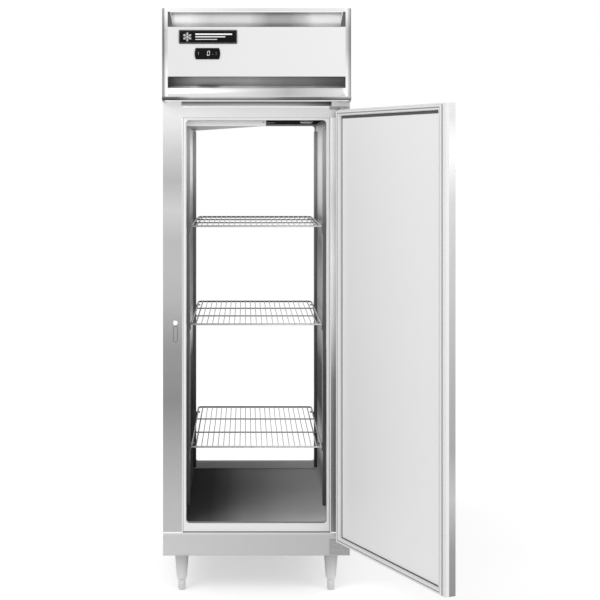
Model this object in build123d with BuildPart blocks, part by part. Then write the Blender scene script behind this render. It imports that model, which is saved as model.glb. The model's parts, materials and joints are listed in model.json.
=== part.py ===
from build123d import *
import os

# A one-section, pass-through reach-in refrigerator with a full door on the front and one on the rear.
# Origin: centre of the cabinet's footprint on the floor. The front faces -Y, +Z is up, +X is the hinge side.

os.makedirs("parts", exist_ok=True)

# Cabinet
cabinet_width = 660.0
cabinet_depth = 825.0
cabinet_height = 1586.0
leg_height = 142.0
stile_width = 82.0
sheet = 1.5
liner_sheet = 1.0
liner_recess = 4.0
floor_height = 114.0
header_height = 49.0
ceiling_recess = 7.0
sill_drop = 33.0
frame_depth = 22.0
frame_border = 12.0
frame_top_border = 8.0
rear_sill_lip = 29.0
opening_corner = 12.0

# Doors
door_thickness = 36.0
door_skin_depth = 24.0
door_skin = 1.2
door_latch_margin = 14.0
door_hinge_margin = 12.0
door_below_opening = 56.0
door_above_opening = 35.0
door_open_angle = 117.0
gasket_depth = 15.5
gasket_gap = 0.5
gasket_width = 18.0
gasket_inset = 4.0
gasket_hinge_inset = 6.0
gasket_foot = 7.0
gasket_step = 3.0
panel_corner = 3.0
panel_rim = 12.0
panel_wall = 3.0

# Hinges
hinge_from_edge = 9.0
hinge_from_outside = 15.0
pin_radius = 5.0
pin_length = 24.0
running_gap = 0.05
bracket_plate = 5.0
bracket_flange = 3.0
bracket_width = 68.0
bracket_overhang = 17.0
bracket_reach = 50.0
bracket_gap = 2.0
washer_radius = 9.0
lower_flange_height = 52.0
upper_flange_height = 11.0

# Handle and lock
handle_width = 60.0
handle_height = 140.0
handle_depth = 24.0
handle_wall = 2.0
handle_border = 6.0
handle_lip = 16.0
handle_from_edge = 66.0
handle_centre_height = 1080.0
lock_centre_height = 930.0
lock_from_edge = 30.0
lock_radius = 9.0
lock_proud = 3.0
lock_depth = 24.0
lock_keyway_width = 2.0
lock_keyway_depth = 1.5
strike_thickness = 2.0
strike_width = 20.0
strike_low = 892.0
strike_high = 973.0
strike_slot_width = 14.0
strike_slot_height = 52.0
strike_boss_radius = 8.0
strike_pocket_depth = 24.0
strike_pocket_margin = 6.0

# Shelves, pilasters and clips
pilaster_width = 30.0
pilaster_depth = 12.0
pilaster_from_face = 125.0
pilaster_end_gap = 32.0
pilaster_slot_width = 4.0
pilaster_slot_height = 10.0
pilaster_slot_pitch = 25.0
shelf_heights = {"bottom_shelf": 519.0, "middle_shelf": 956.0, "top_shelf": 1306.0}
shelf_side_gap = 4.0
shelf_face_gap = 42.0
frame_wire = 7.0
cross_wire = 5.0
grid_wire = 3.2
wire_weld = 0.4
grid_wire_pitch = 19.5
shelf_cross_wires = 4
clip_thickness = 3.0
clip_width = 16.0
clip_height = 26.0
clip_lip = 5.0
clip_gap = 0.3

# Legs and levelling feet
leg_inset_x = 63.0
leg_inset_y = 70.0
leg_plate = 76.0
leg_plate_thickness = 4.0
leg_plate_corner = 9.5
leg_top_radius = 26.0
leg_bottom_radius = 18.5
foot_radius = 12.0
foot_pad_radius = 13.5
foot_pad_thickness = 5.0
foot_height = 38.0
foot_stem_radius = 8.0
foot_stem_length = 70.0
foot_flats = 6
foot_pad_chamfer = 1.25

# Covers over the machinery
cover_height = 324.0
cover_lift = 15.0
cover_reach = 58.0
cover_border = 20.0
cover_corner = 12.0
upper_slot_height = 54.0
upper_slot_top_margin = 11.0
centre_panel_height = 173.0
lower_slot_height = 40.0
centre_panel_thickness = 2.0
scoop_reach = 34.0
scoop_flange = 10.0
scoop_overlap = 5.0
side_panel_height = 300.0

# Badge and controller
badge_width = 203.0
badge_height = 48.0
badge_thickness = 3.0
badge_corner = 8.0
badge_rounding = 1.0
badge_from_left = 59.0
badge_below_top = 100.0
controller_width = 89.0
controller_height = 39.0
controller_from_left = 114.0
controller_below_badge = 15.0
controller_bezel = 3.0
controller_body_margin = 9.0
controller_corner = 9.75
controller_depth = 40.0
key_width = 8.0
key_height = 6.0
key_offset = 31.0
key_travel = 0.8
key_proud = 1.0
key_gap = 0.3

# Refrigeration machinery
base_tray = 2.0
tray_lip = 15.0
coil_width = 240.0
coil_height = 250.0
coil_depth = 50.0
coil_fins = 40
coil_groove_depth = 12.5
shroud_depth = 24.0
fan_radius = 95.0
fan_gap = 6.0
fan_blades = 5
fan_hub_radius = 20.0
fan_hub_length = 18.0
fan_blade_thickness = 2.0
fan_pitch = 24.0
motor_radius = 38.0
motor_length = 60.0
shaft_radius = 4.0
compressor_radius = 82.0
compressor_height = 190.0
compressor_foot = 12.0
compressor_foot_pitch = 106.6
compressor_foot_height = 39.3
compressor_bottom_rounding = 20.5
housing_side_gap = 110.0
housing_depth = 290.0
housing_height = 230.0
housing_wall = 25.0
evaporator_fan_radius = 80.0
evaporator_hub_radius = 18.0
evaporator_motor_radius = 32.0
evaporator_motor_length = 50.0
evaporator_motor_post = 10.7
supply_slot_length = 320.0
supply_slot_width = 40.0
line_radius = 5.0
line_bend = 26.0

# Ceiling baffle and light
baffle_length = 290.0
baffle_depth = 740.0
baffle_height = 27.0
light_radius = 22.0
light_height = 14.0
light_length = 88.0
light_from_opening = 66.0
light_from_front = 88.0
light_rounding = 4.5

# Derived planes
half_width = cabinet_width / 2
half_depth = cabinet_depth / 2
face_y = -half_depth
base_z = leg_height
roof_z = base_z + cabinet_height
opening_half = half_width - stile_width
floor_z = base_z + floor_height
opening_top = roof_z - header_height
ceiling_z = opening_top + ceiling_recess
liner_half = opening_half + liner_recess
frame_half = opening_half + frame_border
rail_top = floor_z - sill_drop
header_bottom = opening_top + frame_top_border
door_left = door_latch_margin - half_width
door_hinge_edge = half_width - door_hinge_margin
door_outer_y = face_y - gasket_gap - gasket_depth - door_thickness
door_inner_y = door_outer_y + door_thickness
door_bottom = floor_z - door_below_opening
door_top = opening_top + door_above_opening
hinge_x = door_hinge_edge - hinge_from_edge
hinge_y = door_outer_y + hinge_from_outside
handle_x = door_left + handle_from_edge
lock_x = door_left + lock_from_edge
hinge_axis = Axis((hinge_x, hinge_y, 0), (0, 0, 1))


def slab(low, high):
    """A plain block between two opposite corners."""
    with BuildPart() as block:
        with BuildSketch(Plane.XY.offset(low[2])):
            with Locations(((low[0] + high[0]) / 2, (low[1] + high[1]) / 2)):
                Rectangle(high[0] - low[0], high[1] - low[1])
        extrude(amount=high[2] - low[2])
    return block.part


def rod(radius, start, end):
    """A round bar between two points."""
    plane = Plane(origin=start, z_dir=Vector(*end) - Vector(*start))
    with BuildPart() as bar:
        with BuildSketch(plane):
            Circle(radius)
        extrude(amount=(Vector(*end) - Vector(*start)).length)
    return bar.part


def mirrored(solid):
    """The same piece on the rear of the cabinet."""
    return mirror(solid, about=Plane.XZ)


def apart(*pieces):
    """Several touching pieces kept as separate solids of one group."""
    return Compound([solid for piece in pieces for solid in piece.solids()])


def save(solid, name):
    """Labels a finished piece and writes it out."""
    solid.label = name
    export_step(solid, f"parts/{name}.step")


# Strike pocket behind the front latch-side stile
strike_half = strike_width / 2 + strike_thickness
pocket_low = (lock_x - strike_half - strike_pocket_margin, face_y, strike_low - strike_pocket_margin)
pocket_high = (lock_x + strike_half + strike_pocket_margin, face_y + strike_pocket_depth,
               strike_high + strike_pocket_margin)

# Air openings between the cabinet and the evaporator above it
evaporator_y = half_depth - cover_reach - housing_depth / 2
supply_y = evaporator_y + housing_depth / 2 - housing_wall - supply_slot_width
fan_well_y = evaporator_y - housing_depth / 2 + housing_wall + evaporator_fan_radius + fan_gap


def cut_air_openings(low_z, high_z):
    """The round fan well and the long supply slot, as blocks to cut out of a ceiling layer."""
    with BuildPart() as voids:
        with BuildSketch(Plane.XY.offset(low_z)):
            with Locations((0, fan_well_y)):
                Circle(evaporator_fan_radius + fan_gap)
            with Locations((0, supply_y)):
                SlotOverall(supply_slot_length, supply_slot_width)
        extrude(amount=high_z - low_z)
    return voids.part


# Outer skins of the cabinet
for side, name in ((-1, "left_side_panel"), (1, "right_side_panel")):
    outer = side * half_width
    inner = side * (half_width - sheet)
    with BuildPart() as side_panel:
        add(slab((min(outer, inner), face_y + sheet, base_z),
                 (max(outer, inner), half_depth - sheet, roof_z)))
    save(side_panel.part, name)

with BuildPart() as base_panel:
    add(slab((-half_width + sheet, face_y + sheet, base_z),
             (half_width - sheet, half_depth - sheet, base_z + sheet)))
save(base_panel.part, "base_panel")

with BuildPart() as roof_panel:
    add(slab((-half_width + sheet, face_y + sheet, roof_z - sheet),
             (half_width - sheet, half_depth - sheet, roof_z)))
    add(cut_air_openings(roof_z - sheet, roof_z), mode=Mode.SUBTRACT)
save(roof_panel.part, "roof_panel")

# Face sheets round each opening
with BuildPart() as front_left_stile:
    add(slab((-half_width, face_y, rail_top), (-frame_half, face_y + sheet, header_bottom)))
    with BuildSketch(Plane.XZ.offset(half_depth)):
        with Locations((lock_x, (strike_low + strike_high) / 2)):
            SlotOverall(strike_high - strike_low, strike_width, rotation=90)
    extrude(amount=-sheet, mode=Mode.SUBTRACT)
save(front_left_stile.part, "front_left_stile")

with BuildPart() as front_right_stile:
    add(slab((frame_half, face_y, rail_top), (half_width, face_y + sheet, header_bottom)))
save(front_right_stile.part, "front_right_stile")

with BuildPart() as front_header:
    add(slab((-half_width, face_y, header_bottom), (half_width, face_y + sheet, roof_z + cover_lift)))

with BuildPart() as front_bottom_rail:
    add(slab((-half_width, face_y, base_z), (half_width, face_y + sheet, rail_top)))
save(apart(front_header.part, front_bottom_rail.part), "front_rails")

rear_left_stile = slab((-half_width, half_depth - sheet, rail_top), (-frame_half, half_depth, header_bottom))
front_pieces = (front_right_stile.part, front_header.part, front_bottom_rail.part)
rear_face_pieces = [rear_left_stile, *map(mirrored, front_pieces)]
save(apart(*rear_face_pieces), "rear_face_sheets")

# Insulation: four slabs between the skins and the liner
foam_x = half_width - sheet
foam_y = half_depth - sheet
inner_y = half_depth - frame_depth
with BuildPart() as wall_foam:
    for side in (-1, 1):
        outer_x = sorted((side * foam_x, side * frame_half))
        inner_x = sorted((side * frame_half, side * (liner_half + liner_sheet)))
        add(slab((outer_x[0], -foam_y, base_z + sheet), (outer_x[1], foam_y, roof_z - sheet)))
        add(slab((inner_x[0], -inner_y, rail_top), (inner_x[1], inner_y, header_bottom)))
    add(slab(pocket_low, pocket_high), mode=Mode.SUBTRACT)

with BuildPart() as floor_foam:
    add(slab((-frame_half, -foam_y, base_z + sheet), (frame_half, foam_y, rail_top)))
    add(slab((-liner_half - liner_sheet, -inner_y, rail_top),
             (liner_half + liner_sheet, inner_y, floor_z - liner_sheet)))

with BuildPart() as ceiling_foam:
    add(slab((-frame_half, -foam_y, header_bottom), (frame_half, foam_y, roof_z - sheet)))
    add(cut_air_openings(header_bottom, roof_z - sheet), mode=Mode.SUBTRACT)
save(apart(wall_foam.part, floor_foam.part, ceiling_foam.part), "cabinet_foam")

# Liner: flat inner walls, floor and ceiling
for side, name in ((-1, "liner_left_wall"), (1, "liner_right_wall")):
    wall_x = sorted((side * liner_half, side * (liner_half + liner_sheet)))
    with BuildPart() as liner_wall:
        add(slab((wall_x[0], -inner_y, floor_z - liner_sheet), (wall_x[1], inner_y, header_bottom)))
    save(liner_wall.part, name)

with BuildPart() as liner_floor:
    add(slab((-liner_half, -inner_y, floor_z - liner_sheet), (liner_half, inner_y, floor_z)))
save(liner_floor.part, "liner_floor")

with BuildPart() as liner_ceiling:
    add(slab((-liner_half, -inner_y, ceiling_z), (liner_half, inner_y, header_bottom)))
    add(cut_air_openings(ceiling_z, header_bottom), mode=Mode.SUBTRACT)
save(liner_ceiling.part, "liner_ceiling")


def breaker_frame(sill):
    """The moulded frame that joins skin and liner round the front opening, over a sill of some height."""
    low = floor_z + sill
    with BuildPart() as breaker:
        with BuildSketch(Plane.XZ.offset(half_depth)):
            with Locations((0, (rail_top + header_bottom) / 2)):
                Rectangle(2 * frame_half, header_bottom - rail_top)
            with Locations((0, (low + opening_top) / 2)):
                RectangleRounded(2 * opening_half, opening_top - low, opening_corner, mode=Mode.SUBTRACT)
        extrude(amount=-frame_depth)
    return breaker.part


save(breaker_frame(0.0), "front_breaker_frame")
save(mirrored(breaker_frame(rear_sill_lip)), "rear_breaker_frame")

# Pilasters: slotted channels that carry the shelf clips
pilaster_low = floor_z + pilaster_end_gap
pilaster_high = ceiling_z - pilaster_end_gap
pilaster_slots = int((pilaster_high - pilaster_low - pilaster_slot_pitch) / pilaster_slot_pitch)
pilaster_y = half_depth - pilaster_from_face
pilaster_face = liner_half - pilaster_depth


def pilaster_channel():
    """One channel, open towards the wall, with a row of slots in its face."""
    with BuildPart() as channel:
        add(slab((pilaster_face, pilaster_y - pilaster_width / 2, pilaster_low),
                 (liner_half, pilaster_y + pilaster_width / 2, pilaster_high)))
        add(slab((pilaster_face + sheet, pilaster_y - pilaster_width / 2 + sheet, pilaster_low),
                 (liner_half, pilaster_y + pilaster_width / 2 - sheet, pilaster_high)), mode=Mode.SUBTRACT)
        with BuildSketch(Plane.YZ.offset(pilaster_face)):
            with Locations((pilaster_y, (pilaster_low + pilaster_high) / 2)):
                with GridLocations(0, pilaster_slot_pitch, 1, pilaster_slots):
                    Rectangle(pilaster_slot_width, pilaster_slot_height)
        extrude(amount=sheet, mode=Mode.SUBTRACT)
    return channel.part


with BuildPart() as pilasters:
    add(pilaster_channel())
    mirror(about=Plane.XZ)
    mirror(about=Plane.YZ)
save(pilasters.part, "pilasters")

# Shelf: a welded grid of wires in a heavier frame
shelf_half_x = pilaster_face - shelf_side_gap
shelf_half_y = half_depth - shelf_face_gap
frame_r = frame_wire / 2
cross_r = cross_wire / 2
grid_r = grid_wire / 2
grid_z = cross_r + grid_r - wire_weld
grid_wires = int(2 * (shelf_half_x - frame_wire - grid_wire) / grid_wire_pitch) + 1
side_wire_x = shelf_half_x - frame_r
end_wire_y = shelf_half_y - frame_r
cross_pitch = 2 * end_wire_y / (shelf_cross_wires - 1)
with BuildPart() as shelf:
    with BuildSketch(Plane.XZ.offset(end_wire_y)):
        with Locations((-side_wire_x, 0), (side_wire_x, 0)):
            Circle(frame_r)
    extrude(amount=-2 * end_wire_y)
    with BuildSketch(Plane.YZ.offset(-side_wire_x)):
        with Locations((-end_wire_y, 0), (end_wire_y, 0)):
            Circle(frame_r)
        with Locations((0, 0)):
            with GridLocations(cross_pitch, 0, shelf_cross_wires - 2, 1):
                Circle(cross_r)
    extrude(amount=2 * side_wire_x)
    with Locations(*[(x, y, 0) for x in (-side_wire_x, side_wire_x) for y in (-end_wire_y, end_wire_y)]):
        Sphere(frame_r)
    with BuildSketch(Plane.XZ.offset(end_wire_y)):
        with Locations((0, grid_z)):
            with GridLocations(grid_wire_pitch, 0, grid_wires, 1):
                Circle(grid_r)
    extrude(amount=-2 * end_wire_y)
for name, height in shelf_heights.items():
    save(Pos(0, 0, height - frame_r) * shelf.part, name)

# Clips: a hooked bracket on each pilaster under each shelf
clip_tip = side_wire_x - frame_r - clip_lip


def shelf_clip(top):
    """One clip whose seat lies just under a side wire, with a lip inside it."""
    seat = top - frame_wire - clip_gap
    half = clip_width / 2
    with BuildPart() as clip:
        add(slab((clip_tip, pilaster_y - half, seat - clip_thickness),
                 (pilaster_face, pilaster_y + half, seat)))
        add(slab((pilaster_face - clip_thickness, pilaster_y - half, seat - clip_height),
                 (pilaster_face, pilaster_y + half, seat - clip_thickness)))
        add(slab((clip_tip, pilaster_y - half, seat),
                 (clip_tip + clip_thickness, pilaster_y + half, seat + clip_lip / 2)))
    return clip.part


with BuildPart() as shelf_clips:
    for height in shelf_heights.values():
        add(shelf_clip(height))
    mirror(about=Plane.XZ)
    mirror(about=Plane.YZ)
save(shelf_clips.part, "shelf_clips")

# Ceiling baffle: a shallow wedge over the latch side, with the light beside it
baffle_front = -inner_y + frame_depth
with BuildPart() as ceiling_baffle:
    with BuildSketch(Plane.XY.offset(ceiling_z - baffle_height)):
        with BuildLine():
            Polyline((-liner_half, baffle_front), (-liner_half + baffle_length, baffle_front),
                     (-liner_half, baffle_front + baffle_depth), close=True)
        make_face()
    extrude(amount=baffle_height)
    fillet(ceiling_baffle.edges().filter_by(Axis.Z).sort_by(Axis.X)[-1], radius=light_height / 2)
save(ceiling_baffle.part, "ceiling_baffle")

light_x = opening_half - light_from_opening
light_y = -inner_y + light_from_front
with BuildPart() as interior_light:
    with BuildSketch(Plane.XY.offset(ceiling_z)):
        with Locations((light_x, light_y)):
            SlotOverall(light_length, 2 * light_radius, rotation=90)
    extrude(amount=-light_height)
    fillet(interior_light.faces().sort_by(Axis.Z)[0].edges(), radius=light_rounding)
save(interior_light.part, "interior_light")

# Strike plate behind the slot in the latch-side stile
with BuildPart() as strike_plate:
    with BuildSketch(Plane.XZ.offset(half_depth - sheet)):
        with Locations((lock_x, (strike_low + strike_high) / 2)):
            Rectangle(2 * strike_half, strike_high - strike_low + 2 * strike_thickness)
        with Locations((lock_x, strike_low + strike_slot_height / 2 + strike_thickness)):
            SlotOverall(strike_slot_height, strike_slot_width, rotation=90, mode=Mode.SUBTRACT)
    extrude(amount=-strike_thickness)
    with BuildSketch(Plane.XZ.offset(half_depth - sheet)):
        with Locations((lock_x, strike_high - strike_width / 2)):
            Circle(strike_boss_radius)
    extrude(amount=sheet)
save(strike_plate.part, "strike_plate")

# Hinge brackets with pins, above and below each door
bracket_high_x = min(hinge_x + bracket_overhang, half_width)
bracket_low_x = bracket_high_x - bracket_width
plate_low_x = hinge_x - 2 * washer_radius


def hinge_bracket(plate_z, flange_z, pin_direction):
    """A plate with a pin, and a flange screwed to the cabinet's face. The pin points up (1) or down (-1)."""
    tip_z = plate_z if pin_direction < 0 else plate_z + bracket_plate
    with BuildPart() as bracket:
        add(slab((plate_low_x, face_y - bracket_reach, plate_z),
                 (bracket_high_x, face_y, plate_z + bracket_plate)))
        fillet(bracket.edges().filter_by(Axis.Z).group_by(Axis.Y)[0], radius=washer_radius)
        add(slab((bracket_low_x, face_y - bracket_flange, min(flange_z)),
                 (bracket_high_x, face_y, max(flange_z))))
        with BuildSketch(Plane.XY.offset(tip_z)):
            with Locations((hinge_x, hinge_y)):
                Circle(pin_radius)
        extrude(amount=pin_direction * (bracket_gap + pin_length))
        with BuildSketch(Plane.XY.offset(tip_z)):
            with Locations((hinge_x, hinge_y)):
                Circle(washer_radius)
        extrude(amount=pin_direction * bracket_gap / 2)
    return bracket.part


lower_plate_z = door_bottom - bracket_gap - bracket_plate
upper_plate_z = door_top + bracket_gap
lower_plate_top = lower_plate_z + bracket_plate
lower_bracket = hinge_bracket(lower_plate_z, (lower_plate_top - lower_flange_height, lower_plate_top), 1)
upper_bracket = hinge_bracket(upper_plate_z, (upper_plate_z, upper_plate_z + upper_flange_height), -1)
with BuildPart() as hinge_brackets:
    add(lower_bracket)
    add(upper_bracket)
    mirror(about=Plane.XZ)
save(hinge_brackets.part, "hinge_brackets")

# Door, built closed over the front opening and then swung open
pocket_x = (handle_x - handle_width / 2, handle_x + handle_width / 2)
pocket_z = (handle_centre_height - handle_height / 2, handle_centre_height + handle_height / 2)
handle_pocket = slab((pocket_x[0], door_outer_y, pocket_z[0]),
                     (pocket_x[1], door_outer_y + handle_depth, pocket_z[1]))
lock_hole = rod(lock_radius + running_gap, (lock_x, door_outer_y, lock_centre_height),
                (lock_x, door_outer_y + lock_depth, lock_centre_height))
pin_holes = [
    rod(pin_radius + running_gap, (hinge_x, hinge_y, door_bottom),
        (hinge_x, hinge_y, door_bottom + pin_length)),
    rod(pin_radius + running_gap, (hinge_x, hinge_y, door_top - pin_length), (hinge_x, hinge_y, door_top)),
]


def door_outer_skin(with_lock):
    """The folded stainless pan that covers the door's outside and edges."""
    with BuildPart() as pan:
        add(slab((door_left, door_outer_y, door_bottom),
                 (door_hinge_edge, door_outer_y + door_skin_depth, door_top)))
        add(slab((door_left + door_skin, door_outer_y + door_skin, door_bottom + door_skin),
                 (door_hinge_edge - door_skin, door_outer_y + door_skin_depth, door_top - door_skin)),
            mode=Mode.SUBTRACT)
        add([handle_pocket, *pin_holes], mode=Mode.SUBTRACT)
        if with_lock:
            add(lock_hole, mode=Mode.SUBTRACT)
    return pan.part


core_low = (door_left + door_skin, door_outer_y + door_skin, door_bottom + door_skin)
core_high = (door_hinge_edge - door_skin, door_outer_y + door_skin_depth, door_top - door_skin)
core_back = slab((door_left + panel_rim, door_outer_y + door_skin_depth, door_bottom + panel_rim),
                 (door_hinge_edge - panel_rim, door_inner_y - panel_wall, door_top - panel_rim))


def door_inner_panel():
    """The moulded inner face of the door, with the rim that the gasket seats on."""
    with BuildPart() as panel:
        add(slab((door_left, door_outer_y + door_skin_depth, door_bottom),
                 (door_hinge_edge, door_inner_y, door_top)))
        fillet(panel.edges().filter_by(Axis.Y), radius=panel_corner)
        add(core_back, mode=Mode.SUBTRACT)
    return panel.part


def drilled(block, cuts):
    """One block of foam with the cuts taken out of it."""
    with BuildPart() as body:
        add(block)
        add(cuts, mode=Mode.SUBTRACT)
    return body.part


def door_core(with_lock):
    """Foam blocks beside, under, over and behind the handle's cup, cut for pins and lock."""
    beside = [
        slab(core_low, (pocket_x[0], core_high[1], core_high[2])),
        slab((pocket_x[1], core_low[1], core_low[2]), core_high),
    ]
    under = slab((pocket_x[0], core_low[1], core_low[2]), (pocket_x[1], core_high[1], pocket_z[0]))
    over = slab((pocket_x[0], core_low[1], pocket_z[1]), (pocket_x[1], core_high[1], core_high[2]))
    cuts = [handle_pocket, *pin_holes]
    if with_lock:
        cuts.append(lock_hole)
    return apart(*[drilled(block, cuts) for block in (*beside, under, over, core_back)])


gasket_low = (door_left + gasket_inset, door_bottom + gasket_inset)
gasket_high = (door_hinge_edge - gasket_hinge_inset, door_top - gasket_inset)
gasket_centre = ((gasket_low[0] + gasket_high[0]) / 2, (gasket_low[1] + gasket_high[1]) / 2)
gasket_size = (gasket_high[0] - gasket_low[0], gasket_high[1] - gasket_low[1])


def door_gasket():
    """A two-step magnetic gasket: a wide foot on the door and a narrower sealing head."""
    with BuildPart() as gasket:
        with BuildSketch(Plane.XZ.offset(-door_inner_y)):
            with Locations(gasket_centre):
                Rectangle(*gasket_size)
                Rectangle(*[s - 2 * gasket_width for s in gasket_size], mode=Mode.SUBTRACT)
        extrude(amount=-gasket_foot)
        with BuildSketch(Plane.XZ.offset(-door_inner_y - gasket_foot)):
            with Locations(gasket_centre):
                Rectangle(*gasket_size)
                Rectangle(*[s - 2 * (gasket_width - gasket_step) for s in gasket_size], mode=Mode.SUBTRACT)
        extrude(amount=gasket_foot - gasket_depth)
    return gasket.part


def door_handle():
    """A recessed pull: a cup set into the door with a border and a finger lip over one side."""
    with BuildPart() as handle:
        add(handle_pocket)
        add(slab((pocket_x[0] + handle_wall, door_outer_y, pocket_z[0] + handle_wall),
                 (pocket_x[1] - handle_wall, door_outer_y + handle_depth - handle_wall,
                  pocket_z[1] - handle_wall)),
            mode=Mode.SUBTRACT)
        with BuildSketch(Plane.XZ.offset(-door_outer_y)):
            with Locations((handle_x, handle_centre_height)):
                RectangleRounded(handle_width + 2 * handle_border, handle_height + 2 * handle_border,
                                 handle_border)
            with Locations((handle_x + handle_lip / 2, handle_centre_height)):
                Rectangle(handle_width - 2 * handle_wall - handle_lip, handle_height - 2 * handle_wall,
                          mode=Mode.SUBTRACT)
        extrude(amount=handle_wall)
    return handle.part


def door_lock():
    """A key cylinder let into the door's outside, with a keyway across its face."""
    with BuildPart() as lock:
        add(rod(lock_radius, (lock_x, door_outer_y - lock_proud, lock_centre_height),
                (lock_x, door_outer_y + lock_depth, lock_centre_height)))
        with BuildSketch(Plane.XZ.offset(-door_outer_y + lock_proud)):
            with Locations((lock_x, lock_centre_height)):
                Rectangle(lock_keyway_width, lock_radius)
        extrude(amount=-lock_keyway_depth, mode=Mode.SUBTRACT)
    return lock.part


def swung(solid):
    """A front-door piece turned from closed to the open rest pose."""
    return solid.rotate(hinge_axis, door_open_angle)


front_door = {
    "front_door_skin": door_outer_skin(True),
    "front_door_panel": door_inner_panel(),
    "front_door_core": door_core(True),
    "front_door_gasket": door_gasket(),
    "front_door_handle": door_handle(),
    "front_door_lock": door_lock(),
}
rear_door = {
    "rear_door_skin": door_outer_skin(False),
    "rear_door_panel": door_inner_panel(),
    "rear_door_core": door_core(False),
    "rear_door_gasket": door_gasket(),
    "rear_door_handle": door_handle(),
}
for name, piece in front_door.items():
    save(swung(piece), name)
for name, piece in rear_door.items():
    save(mirrored(swung(piece)), name)

# Legs and levelling feet
leg_x = half_width - leg_inset_x
leg_y = half_depth - leg_inset_y
leg_bottom = foot_height
with BuildPart() as leg:
    with BuildSketch(Plane.XY.offset(leg_height - leg_plate_thickness)):
        with Locations((leg_x, leg_y)):
            RectangleRounded(leg_plate, leg_plate, leg_plate_corner)
    extrude(amount=leg_plate_thickness)
    with BuildSketch(Plane.XY.offset(leg_height - leg_plate_thickness)):
        with Locations((leg_x, leg_y)):
            Circle(leg_top_radius)
    with BuildSketch(Plane.XY.offset(leg_bottom)):
        with Locations((leg_x, leg_y)):
            Circle(leg_bottom_radius)
    loft()
    with BuildSketch(Plane.XY.offset(leg_bottom)):
        with Locations((leg_x, leg_y)):
            Circle(foot_stem_radius + running_gap)
    extrude(amount=foot_stem_length + running_gap, mode=Mode.SUBTRACT)
with BuildPart() as legs:
    add(leg.part)
    mirror(about=Plane.XZ)
    mirror(about=Plane.YZ)
save(legs.part, "legs")

with BuildPart() as foot:
    with BuildSketch():
        Circle(foot_pad_radius)
    extrude(amount=foot_pad_thickness)
    with BuildSketch(Plane.XY.offset(foot_pad_thickness)):
        RegularPolygon(foot_radius, foot_flats)
    extrude(amount=foot_height - foot_pad_thickness)
    with BuildSketch(Plane.XY.offset(foot_height)):
        Circle(foot_stem_radius)
    extrude(amount=foot_stem_length)
    chamfer(foot.faces().sort_by(Axis.Z)[0].edges(), length=foot_pad_chamfer)
for end, y in (("front", -leg_y), ("rear", leg_y)):
    for side, x in (("left", -leg_x), ("right", leg_x)):
        save(Pos(x, y, 0) * foot.part, f"{end}_{side}_foot")

# Covers: a formed hood in front of and behind the machinery
cover_low = roof_z + cover_lift
cover_high = cover_low + cover_height
cover_y = face_y - cover_reach
window_half = half_width - cover_border
upper_slot_top = cover_high - upper_slot_top_margin
upper_slot_low = upper_slot_top - upper_slot_height
centre_low = upper_slot_low - centre_panel_height
lower_slot_low = centre_low - lower_slot_height


def cover_pan():
    """The hood's folded sheet, open behind and below, with one window for slots and centre panel."""
    with BuildPart() as pan:
        add(slab((-half_width, cover_y, cover_low), (half_width, face_y, cover_high)))
        fillet(pan.edges().filter_by(Axis.Z).group_by(Axis.Y)[0], radius=cover_corner)
        with BuildSketch(Plane.XY.offset(cover_low + sheet)):
            with BuildLine():
                FilletPolyline((sheet - half_width, face_y), (sheet - half_width, cover_y + sheet),
                               (half_width - sheet, cover_y + sheet), (half_width - sheet, face_y),
                               radius=cover_corner - sheet)
                Line((half_width - sheet, face_y), (sheet - half_width, face_y))
            make_face()
        extrude(amount=cover_height - 2 * sheet, mode=Mode.SUBTRACT)
        add(slab((-window_half, cover_y, lower_slot_low), (window_half, cover_y + sheet, upper_slot_top)),
            mode=Mode.SUBTRACT)
    return pan.part


def cover_centre_panel():
    """The flat centre panel that carries badge and controller."""
    with BuildPart() as centre:
        add(slab((-window_half, cover_y, centre_low),
                 (window_half, cover_y + centre_panel_thickness, upper_slot_low)))
    return centre.part


def air_scoop(front_z, carrier_thickness, rise):
    """A strip flanged behind a slot's lower edge that curves up and back into the machinery."""
    start_y = cover_y + carrier_thickness
    with BuildPart() as scoop:
        with BuildSketch(Plane.YZ.offset(-window_half)):
            with BuildLine():
                inner_arc = RadiusArc((start_y, front_z), (start_y + scoop_reach, front_z + rise),
                                      scoop_reach + rise)
                top_edge = Line(inner_arc @ 1, inner_arc @ 1 + Vector(sheet, 0))
                outer_arc = RadiusArc(top_edge @ 1, inner_arc @ 0 + Vector(sheet, 0), -(scoop_reach + rise))
                Polyline(outer_arc @ 1, (start_y + sheet, front_z - scoop_flange),
                         (start_y, front_z - scoop_flange), inner_arc @ 0)
            make_face()
        extrude(amount=2 * window_half)
    return scoop.part


centre_panel = cover_centre_panel()
badge_x = -half_width + badge_from_left + badge_width / 2
badge_z = cover_high - badge_below_top
controller_x = -half_width + controller_from_left + controller_width / 2
controller_z = badge_z - badge_height / 2 - controller_below_badge - controller_height / 2
body_width = controller_width - controller_body_margin
body_height = controller_height - controller_body_margin
save(cover_pan(), "front_cover")
save(mirrored(cover_pan()), "rear_cover")
with BuildPart() as front_cover_panel:
    add(centre_panel)
    with BuildSketch(Plane.XZ.offset(-cover_y)):
        with Locations((controller_x, controller_z)):
            Rectangle(body_width, body_height)
    extrude(amount=-centre_panel_thickness, mode=Mode.SUBTRACT)
save(front_cover_panel.part, "front_cover_panel")
save(mirrored(centre_panel), "rear_cover_panel")
with BuildPart() as air_scoops:
    add(air_scoop(upper_slot_low, centre_panel_thickness, upper_slot_height + scoop_overlap))
    add(air_scoop(lower_slot_low, sheet, lower_slot_height + scoop_overlap))
    mirror(about=Plane.XZ)
save(air_scoops.part, "air_scoops")

# Low panels along the sides of the machine compartment
with BuildPart() as compartment_side_panels:
    for side in (-1, 1):
        panel_x = sorted((side * (half_width - sheet), side * half_width))
        add(slab((panel_x[0], face_y + sheet, roof_z),
                 (panel_x[1], half_depth - sheet, roof_z + side_panel_height)))
save(compartment_side_panels.part, "compartment_side_panels")

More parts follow.
